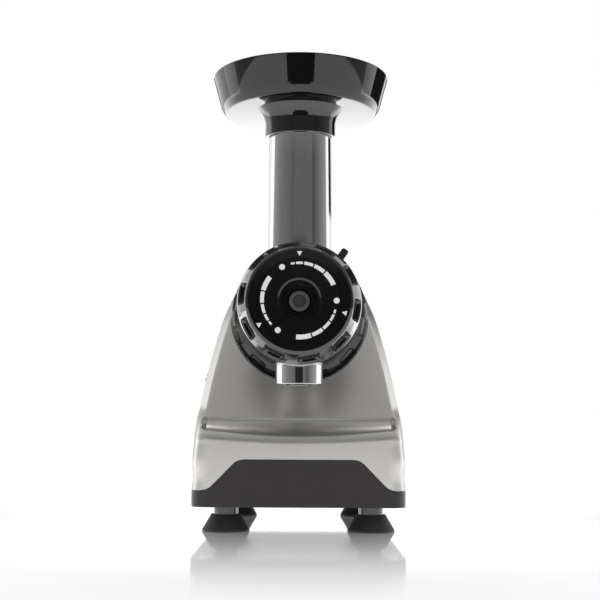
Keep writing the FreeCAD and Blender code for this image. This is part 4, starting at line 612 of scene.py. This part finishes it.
def front_depth(x, z):
    """How far behind the base's front the metal lies, before the corners are rounded.

    The rails ease from 0 to the panel between the apron's top and EASE_Z; the cove is a hollow
    curve from the lip up to the crease, between the rails. The apron's top and the lip both sag
    in the middle, as x^2.
    """
    sag = (x / COVE_HALF) ** 2
    panel = panel_depth(z)
    start = 75.5 + 4.5 * np.minimum(sag, 1.2)
    rails = panel * smoothstep(start, EASE_Z, z)
    lip = 83.2 + 4.8 * sag
    lip_depth = panel_depth(lip) * smoothstep(start, EASE_Z, lip)
    share = np.clip((z - lip) / (CREASE_Z - lip), 0, 1)
    crease_depth = panel_depth(CREASE_Z)
    hollow = (1 - (1 - share) ** 2.2) ** 0.5
    slope = lip_depth + (crease_depth - lip_depth) * hollow - np.maximum(lip - z, 0) * 1.2
    cove = np.where(z < CREASE_Z, slope, panel)
    gap = cove - rails
    rounding = 1.6
    edge = np.maximum(rounding - np.abs(gap), 0) ** 2 / (4 * rounding)
    sunk = np.maximum(gap, 0) + edge * (1 - smoothstep(CREASE_Z, EASE_Z, z))
    inside = 1 - smoothstep(COVE_HALF - 3.4, COVE_HALF + 1.8, np.abs(x))
    return rails + inside * sunk


def body_form(name, inset, low, back, rows, columns):
    """The body's outer form, moved in by inset: rows by height, columns round the plan.

    Across the front x = w c with c from -1 to 1. Towards the outline, e away from it, the depth
    grows by r - sqrt(r^2 - (r - e)^2) at the foot, a rounded corner, which turns into a flat
    rail of slope 1.28 further up. Then the sides run straight back.
    """
    climb = np.concatenate([np.linspace(low, 74, rows // 6, endpoint=False),
                            np.linspace(74, 112, rows // 2, endpoint=False),
                            np.linspace(112, SHOULDER_Z, rows // 5, endpoint=False)])
    radius = CROWN_R - inset
    tilt = math.asin((SHOULDER_Z - CROWN_Z) / CROWN_R)
    crown = CROWN_Z + radius * np.sin(np.linspace(tilt, np.pi / 2, rows // 4))
    z = np.concatenate([climb, crown])[:, None]
    width = half_width(z) - inset
    arc = np.sqrt(np.maximum(radius ** 2 - (z - CROWN_Z) ** 2, 0))
    width = np.where(np.arange(len(z))[:, None] >= len(climb), arc, width)
    flare = front_flare(z)
    width = width + flare
    fine = 1 - (1 - np.linspace(0, 1, columns)) ** 1.9
    share = np.concatenate([-fine[::-1], fine[1:]])
    x = width * share
    corner = 14 - 7 * smoothstep(75, 105, z)
    corner = np.maximum(corner - inset, 2)
    reach = np.sqrt(x ** 2 + np.maximum(z - CROWN_Z, 0) ** 2)
    edge = np.where(z > SHOULDER_Z, radius - reach, (width - np.abs(x)) * 0.985)
    past = corner - edge
    sunk = np.clip(past, 0, corner)
    rounded = corner - np.sqrt(corner ** 2 - sunk ** 2)
    bevelled = 0.64 * (past + np.sqrt(past ** 2 + 1))
    rail = smoothstep(78, 106, z)
    depth = front_depth(x, z) + inset * 1.08 + rounded * (1 - rail) + bevelled * rail
    # One flank: straight back, then round the rear corner.
    width = width - flare
    round_rear = 14 * np.minimum(1, width / 20)
    angle = np.linspace(0, np.pi / 2, 9)[None, :]
    corner_depth = depth[:, -1:]
    way_back = np.linspace(0, 1, 14)[None, 1:-1]
    straight = corner_depth + (back - round_rear - corner_depth) * way_back
    straight_x = width + flare * (1 - smoothstep(20, 200, straight))
    flank_x = np.hstack([straight_x, width - round_rear * (1 - np.cos(angle))])
    flank_t = np.hstack([straight, back - round_rear * (1 - np.sin(angle))])
    all_x = np.hstack([-flank_x[:, ::-1], x, flank_x])
    all_t = np.hstack([flank_t[:, ::-1], depth, flank_t])
    all_z = np.broadcast_to(z, all_x.shape)
    return np.stack([all_x, all_t + FRONT, all_z], axis=-1)


def body_solid(name, inset, low, back, rows, columns):
    """The form closed into a solid: a flat bottom, and a flat rear along the two rear edges."""
    points = body_form(name, inset, low, back, rows, columns)
    count, across = points.shape[:2]
    index = np.arange(count * across).reshape(count, across)
    quads = np.stack([index[:-1, :-1], index[:-1, 1:], index[1:, 1:], index[1:, :-1]], axis=-1)
    rear = np.stack([index[:-1, -1], index[:-1, 0], index[1:, 0], index[1:, -1]], axis=-1)
    faces = quads.reshape(-1, 4).tolist() + [index[0].tolist()] + rear.tolist()
    mesh = bpy.data.meshes.new(name)
    mesh.from_pydata((points.reshape(-1, 3) * MM).tolist(), [], faces)
    return finish_mesh(name, mesh, 30)


ROOF = [(122, 252), (146, 226), (218, 226), (252, 202)]   # depth and height of the roof's corners


def roof_cutter(name, lower):
    """A block over the roof line, moved down by lower."""
    line = [(t - lower * 0.6 + FRONT, z - lower) for t, z in ROOF]
    slant = (ROOF[3][1] - ROOF[2][1]) / (ROOF[3][0] - ROOF[2][0])
    end = 268.0
    outline = [(line[0][0], 280.0), line[0], line[1], line[2],
               (end + FRONT, ROOF[2][1] - lower + slant * (end - ROOF[2][0] + lower * 0.6)),
               (end + FRONT, 280.0)]
    return prism(name, outline, "X", -110, 110)


def ring_block(name, start, end, radius):
    """A plain disc on the drum line, from start to end behind the base's front."""
    return turned(name, [(start, 0), (end, 0), (end, radius), (start, radius)], AXIS_Z, 128)


def arch_points(gap):
    """The arch of the base: flat top, an S-curve of two arcs down each side."""
    bend = 14.2
    foot, top = SEAM_Z + gap, 62.5 + gap
    outer, inner = 84 + gap, 46.4 + gap
    turn_in = np.radians(np.linspace(0, 45, 9))
    low = [(outer - bend * math.sin(a), foot + bend * (1 - math.cos(a))) for a in turn_in]
    high = [(inner + bend * math.sin(a), top - bend * (1 - math.cos(a))) for a in turn_in[::-1]]
    half = [(outer, SEAM_Z - 6)] + low + high
    return half + [(-x, z) for x, z in half[::-1]]


def dress(piece, body, node, slot, finish=None):
    """Gives a new piece its finish, hangs it on its body, and hides the part of the construction
    model that it stands in for.
    """
    piece.data.materials.clear()
    piece.data.materials.append(finishes[finish or slot])
    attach(piece, body)
    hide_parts(node)
    print("%s: %d faces" % (piece.name, len(piece.data.polygons)))


# %% Build and cut the shell
shell = body_solid("body_shell", 0.0, SEAM_Z, 252.0, 150, 44)
carve(shell, roof_cutter("roof_block", 0.0))
cavity = body_solid("cavity", 3.0, SEAM_Z - 8, 260.0, 60, 20)
carve(cavity, roof_cutter("inner_roof", 3.0))
carve(cavity, ring_block("ring_backing", -20, 43, 65.5))
carve(shell, ring_block("mouth_collar", 38, 66, 60.0), "UNION")
recess = [(-20, 0), (-20, 62.5), (40, 62.5), (40, 56.3), (66.5, 56.3), (66.5, 0)]
carve(shell, turned("ring_recess", recess, AXIS_Z, 128))
carve(shell, cavity)
switch_side = [(97 + 11 * along + FRONT, 125 + 15 * up)
               for along, up in ((-1, -1), (1, -1), (1, 1), (-1, 1))]
carve(shell, prism("switch_block", switch_side, "X", -110, -40))
carve(shell, prism("arch_block", arch_points(0.3), "Y", FRONT - 10, FRONT + 9))
shell.data.name = "body_shell"
shell.data.shade_smooth()
shell.data.set_sharp_from_angle(angle=math.radians(30))
dress(shell, "juicer_body", "housing_shell", "silver_paint")

# %% [markdown]
# **The screw cap and the lock ring.** Both are bodies of revolution with scooped finger pockets.
# A pocket is a rounded rectangle drawn on the flank, u round it and v down it. Its signed
# distance is negative inside, so a smooth step of that distance gives a wall with a crisp edge,
# which is what catches the light in the photograph.

# %% A turned form with pockets, and the cap
def soft_corners(profile, radius, steps=5):
    """The closed outline with each corner cut back by at most radius and rounded with an arc."""
    spots = np.array(profile, float)
    before, after = np.roll(spots, 1, axis=0) - spots, np.roll(spots, -1, axis=0) - spots
    long_before = np.linalg.norm(before, axis=1, keepdims=True)
    long_after = np.linalg.norm(after, axis=1, keepdims=True)
    cut = np.minimum(radius, 0.45 * np.minimum(long_before, long_after))
    share = np.linspace(0, 1, steps)[None, :, None]
    start, end = spots + before / long_before * cut, spots + after / long_after * cut
    bend = ((1 - share) ** 2 * start[:, None] + 2 * share * (1 - share) * spots[:, None]
            + share ** 2 * end[:, None])
    return bend.reshape(-1, 2)


def along_path(spots, step):
    """Points every step mm along a polyline, and how far along each one lies."""
    spots = np.array(spots, float)
    far = np.concatenate([[0], np.cumsum(np.linalg.norm(np.diff(spots, axis=0), axis=1))])
    here = np.linspace(0, far[-1], int(far[-1] / step) + 1)
    return np.stack([np.interp(here, far, spots[:, i]) for i in (0, 1)], axis=-1), here


def pocketed(name, flank, rest, count, first, half_round, half_down, middle, depth, steps=720):
    """A body turned about the drum line whose flank is sunk by depth * pocket(u, v).

    u = radius * angle from the nearest pocket's middle, v = way down the flank from its middle;
    pocket = smooth step of -distance to a rounded rectangle, a little shallower at its ends.
    """
    path, down = along_path(flank, 0.5)
    slope = np.gradient(path, axis=0)
    slope /= np.linalg.norm(slope, axis=1, keepdims=True)
    outward = np.stack([-slope[:, 1], slope[:, 0]], axis=-1)
    angle = np.radians(np.linspace(0, 360, steps, endpoint=False))[:, None]
    pitch = 2 * np.pi / count
    turn = (angle - math.radians(first) + pitch / 2) % pitch - pitch / 2
    u, v = turn * path[:, 1].mean(), (down - middle)[None, :]
    corner = 3.4
    out_u = np.maximum(np.abs(u) - (half_round - corner), 0)
    out_v = np.maximum(np.abs(v) - (half_down - corner), 0) + 0 * u
    outside = np.sqrt(out_u ** 2 + out_v ** 2) - corner
    sink = depth * smoothstep(0.15, -1.5, outside) * (1 - 0.3 * (u / half_round) ** 2)
    along = path[None, :, 0] - sink * outward[:, 0]
    radius = path[None, :, 1] - sink * outward[:, 1]
    rest = np.array(rest, float)
    along = np.hstack([along, np.repeat(rest[None, :, 0], steps, 0)])
    radius = np.hstack([radius, np.repeat(rest[None, :, 1], steps, 0)])
    points = np.stack([radius * np.sin(angle), along + FRONT, radius * np.cos(angle) + AXIS_Z],
                      axis=-1)
    return grid_mesh(name, points, round_rows=True, round_columns=True, smooth_angle=38)


cap_flank = [(-88.6, 41.2), (-88.2, 42.2), (-87.0, 43.3), (-76, 47.6), (-66, 50.5), (-62, 51),
             (-60, 51), (-58.6, 50.2), (-58, 49)]
cap_rest = [(-58, 34.4), (-74, 34.4), (-74, 16.05), (-82.35, 16.05), (-82.35, 33.8),
            (-88.7, 33.8), (-88.7, 34.1), (-88.7, 40.6), (-88.7, 41.0)]
cap = pocketed("cap_body", cap_flank, cap_rest, count=10, first=26, half_round=9.4,
               half_down=9.5, middle=14.0, depth=4.2)
dress(cap, "cap", "end_cap", "gloss_black")

# %% [markdown]
# The lock ring is the larger, duller ring behind the cap. Its front is bowed, its pockets are
# shallow, and a short lever stands out at one o'clock. The lever is a small block whose edges
# are rounded by a Bevel modifier.

# %% The lock ring and its lever
ring_flank = [(27.45, 50), (27.7, 52), (28.6, 55), (30.6, 58.3), (33.2, 60.4), (36, 61), (39.0, 61)]
ring_rest = [(39.7, 60.3), (39.7, 56.4), (32.4, 56.4), (32.4, 35.2), (27.5, 35.2), (27.4, 36)]
ring = pocketed("ring_body", ring_flank, ring_rest, count=12, first=11, half_round=8.6,
                half_down=5.6, middle=9.5, depth=1.9)


def ring_lever():
    """A tapered bar from radius 56 to 73.5, turned 35 degrees clockwise from the top."""
    lean = math.radians(35)
    outline = np.array([(-3.6, 56), (-3.4, 72.2), (-2.2, 73.5),
                        (2.2, 73.5), (3.4, 72.2), (3.6, 56)])
    across = outline[:, 0] * math.cos(lean) + outline[:, 1] * math.sin(lean)
    rise = outline[:, 1] * math.cos(lean) - outline[:, 0] * math.sin(lean)
    bar = np.stack([across, rise + AXIS_Z], axis=-1)
    return prism("ring_lever", bar, "Y", FRONT + 34.7, FRONT + 39.6)


lever = ring_lever()
edge_round = lever.modifiers.new("edge_round", "BEVEL")
edge_round.width, edge_round.segments, edge_round.limit_method = 0.0008, 3, "ANGLE"
for piece in (ring, lever):
    dress(piece, "lock", "lock_ring", "gloss_black", "ring_black")

# %% [markdown]
# The printing on the dial is three rising scales of five bars and three dots. A bar is a grid in
# polar form, angle along it and radius across it, so its edges are true arcs. Each bar is longer
# and thicker than the last: every scale swells evenly from its thin end.

# %% The dial's print
PRINT_R = 29.6   # the circle that bars and dots lie on
PRINT_Y = (FRONT - 89.0, FRONT - 88.7)   # the print's front and back
DOT_R = 2.35


def print_outline(name, angle, radius):
    """A raised patch 0.3 mm thick: angle and radius are matching grids, in degrees and mm."""
    turn = np.radians(angle)
    flat = np.stack([radius * np.sin(turn), radius * np.cos(turn) + AXIS_Z], axis=-1)
    edge = np.concatenate([flat[0], flat[1:, -1], flat[-1, -2::-1], flat[-2:0:-1, 0]])
    return prism(name, edge, "Y", *PRINT_Y)


def dial_print():
    """All bars and dots in one object: bar k of a scale spans its share of the scale's arc."""
    lengths = np.array([6.0, 10.5, 14.0, 17.5, 23.0])
    starts = np.concatenate([[0], np.cumsum(lengths + 2.2)[:-1]])
    parts = []
    for scale in (-13.6, 105.0, 228.0):
        for start, length in zip(starts, lengths):
            angle = scale + start + length * np.linspace(0, 1, 16)[None, :]
            half = 0.75 + 1.35 * (start + 0.5 * length) / 80 + 0 * angle
            radius = np.vstack([PRINT_R - half, PRINT_R + half])
            parts.append(print_outline("bar", np.vstack([angle, angle]), radius))
    around = np.linspace(0, 2 * np.pi, 32, endpoint=False)
    for place in (332, 91, 215):
        middle = np.array([PRINT_R * math.sin(math.radians(place)),
                           PRINT_R * math.cos(math.radians(place)) + AXIS_Z])
        circle = middle + DOT_R * np.stack([np.sin(around), np.cos(around)], axis=-1)
        parts.append(prism("dot", circle, "Y", *PRINT_Y))
    merged = bmesh.new()
    for part in parts:
        merged.from_mesh(part.data)
    parts[0].data.name = "dial_print"
    merged.to_mesh(parts[0].data)
    merged.free()
    parts[0].name = "dial_print"
    for part in parts[1:]:
        spent = part.data
        bpy.data.objects.remove(part)
        bpy.data.meshes.remove(spent)
    return parts[0]


dress(dial_print(), "dial", "dial_marks", "white_print")

# %% [markdown]
# **Tray, collar, chute and outlet.** These are the parts whose reflections run in long smooth
# bands, so they need more steps round than the construction model has. The chute and its collar
# are oval: the same outline all the way, 0.74 as deep as it is wide. `oval_turned` sweeps a
# closed profile of (height, half width) round that oval.

# %% Oval tubes
CHUTE_T, OVAL = -17.6, 0.74   # the chute's axis, behind the base's front, and its depth / width


def oval_turned(name, profile, depth, ratio=OVAL, steps=192, smooth_angle=35):
    """(x, y, z) = (h sin a, depth - ratio h cos a, z) for each (z, h) of the closed profile."""
    height, half = np.array(profile, float).T
    angle = np.linspace(0, 2 * np.pi, steps, endpoint=False)[:, None]
    across, along = half * np.sin(angle), depth + FRONT - ratio * half * np.cos(angle)
    points = np.stack([across, along, np.broadcast_to(height, across.shape)], axis=-1)
    return grid_mesh(name, points, round_rows=True, round_columns=True, smooth_angle=smooth_angle)


chute_profile = soft_corners([(226.2, 27.8), (358, 26.6), (358, 24.4), (226.2, 25.6)], 0.6)
chute = oval_turned("chute_tube", chute_profile, CHUTE_T)
dress(chute, "juicer_body", "feed_chute", "dark_chrome")

flare = np.linspace(0, 1, 14)
collar_side = np.stack([350 + 16.6 * flare, 30.3 + 6.5 * flare ** 2.2], axis=-1)
collar_profile = ([(341.6, 27.1), (341.0, 27.7), (341.0, 29.7), (341.6, 30.3)]
                  + collar_side.tolist() + [(367, 36.2), (367, 27.1)])
collar = oval_turned("collar_ring", collar_profile, CHUTE_T)
dress(collar, "juicer_body", "chute_collar", "gloss_black")

# %% [markdown]
# The outlet is a thin bright sleeve with one bead round it. The bead is a half wave added to the
# radius, so it has no edge to break the reflection.

# %% The outlet
OUTLET_T = -35.0   # the outlet's axis, behind the base's front
sleeve_height = np.linspace(126.4, 151.6, 64)
bead = 0.8 * np.cos(np.clip((sleeve_height - 143) / 1.1, -1, 1) * np.pi / 2) ** 2
sleeve_side = np.stack([sleeve_height, 19.5 + bead], axis=-1)
outlet_profile = ([(126.2, 17.9), (126.0, 18.1), (126.0, 19.2)] + sleeve_side.tolist()
                  + [(151.8, 17.9)])
sleeve = oval_turned("outlet_sleeve", outlet_profile, OUTLET_T, 1.0)
dress(sleeve, "juicer_body", "juice_spout", "bright_chrome")

# %% [markdown]
# The tray stands off centre on its oval boss, behind the chute's axis. Its profile is one closed
# line: under the floor, round the knee, up the side to the rim and back down inside. The boss
# and the short neck that drops into the collar are joined to it, and the mouth is cut through.

# %% The tray
TRAY_T = 22.4   # the tray's axis, behind the base's front
corners = [(372.3, -60), (372.3, 67.5), (377.5, 71.5), (405, 79), (405, 76.4), (379.2, 69.4),
           (374.9, 66.2), (374.9, -60)]
outside = [(z, r) for z, r in soft_corners(corners, 2.2, 7) if r > 1]
tray_profile = [(372.3, 0)] + outside + [(374.9, 0)]
tray = oval_turned("tray_bowl", tray_profile, TRAY_T, 1.0, 224)
for tool, low, high, half, operation in (
        ("boss", 367.3, 373.5, 31.5, "UNION"), ("neck", 361, 370, 26.6, "UNION"),
        ("mouth", 350, 420, 24.4, "DIFFERENCE")):
    plug = [(low, 0), (low, half), (high, half), (high, 0)]
    carve(tray, oval_turned(tool, plug, CHUTE_T), operation)
tray.data.shade_smooth()
tray.data.set_sharp_from_angle(angle=math.radians(35))
dress(tray, "tray", "hopper", "smoke_black")
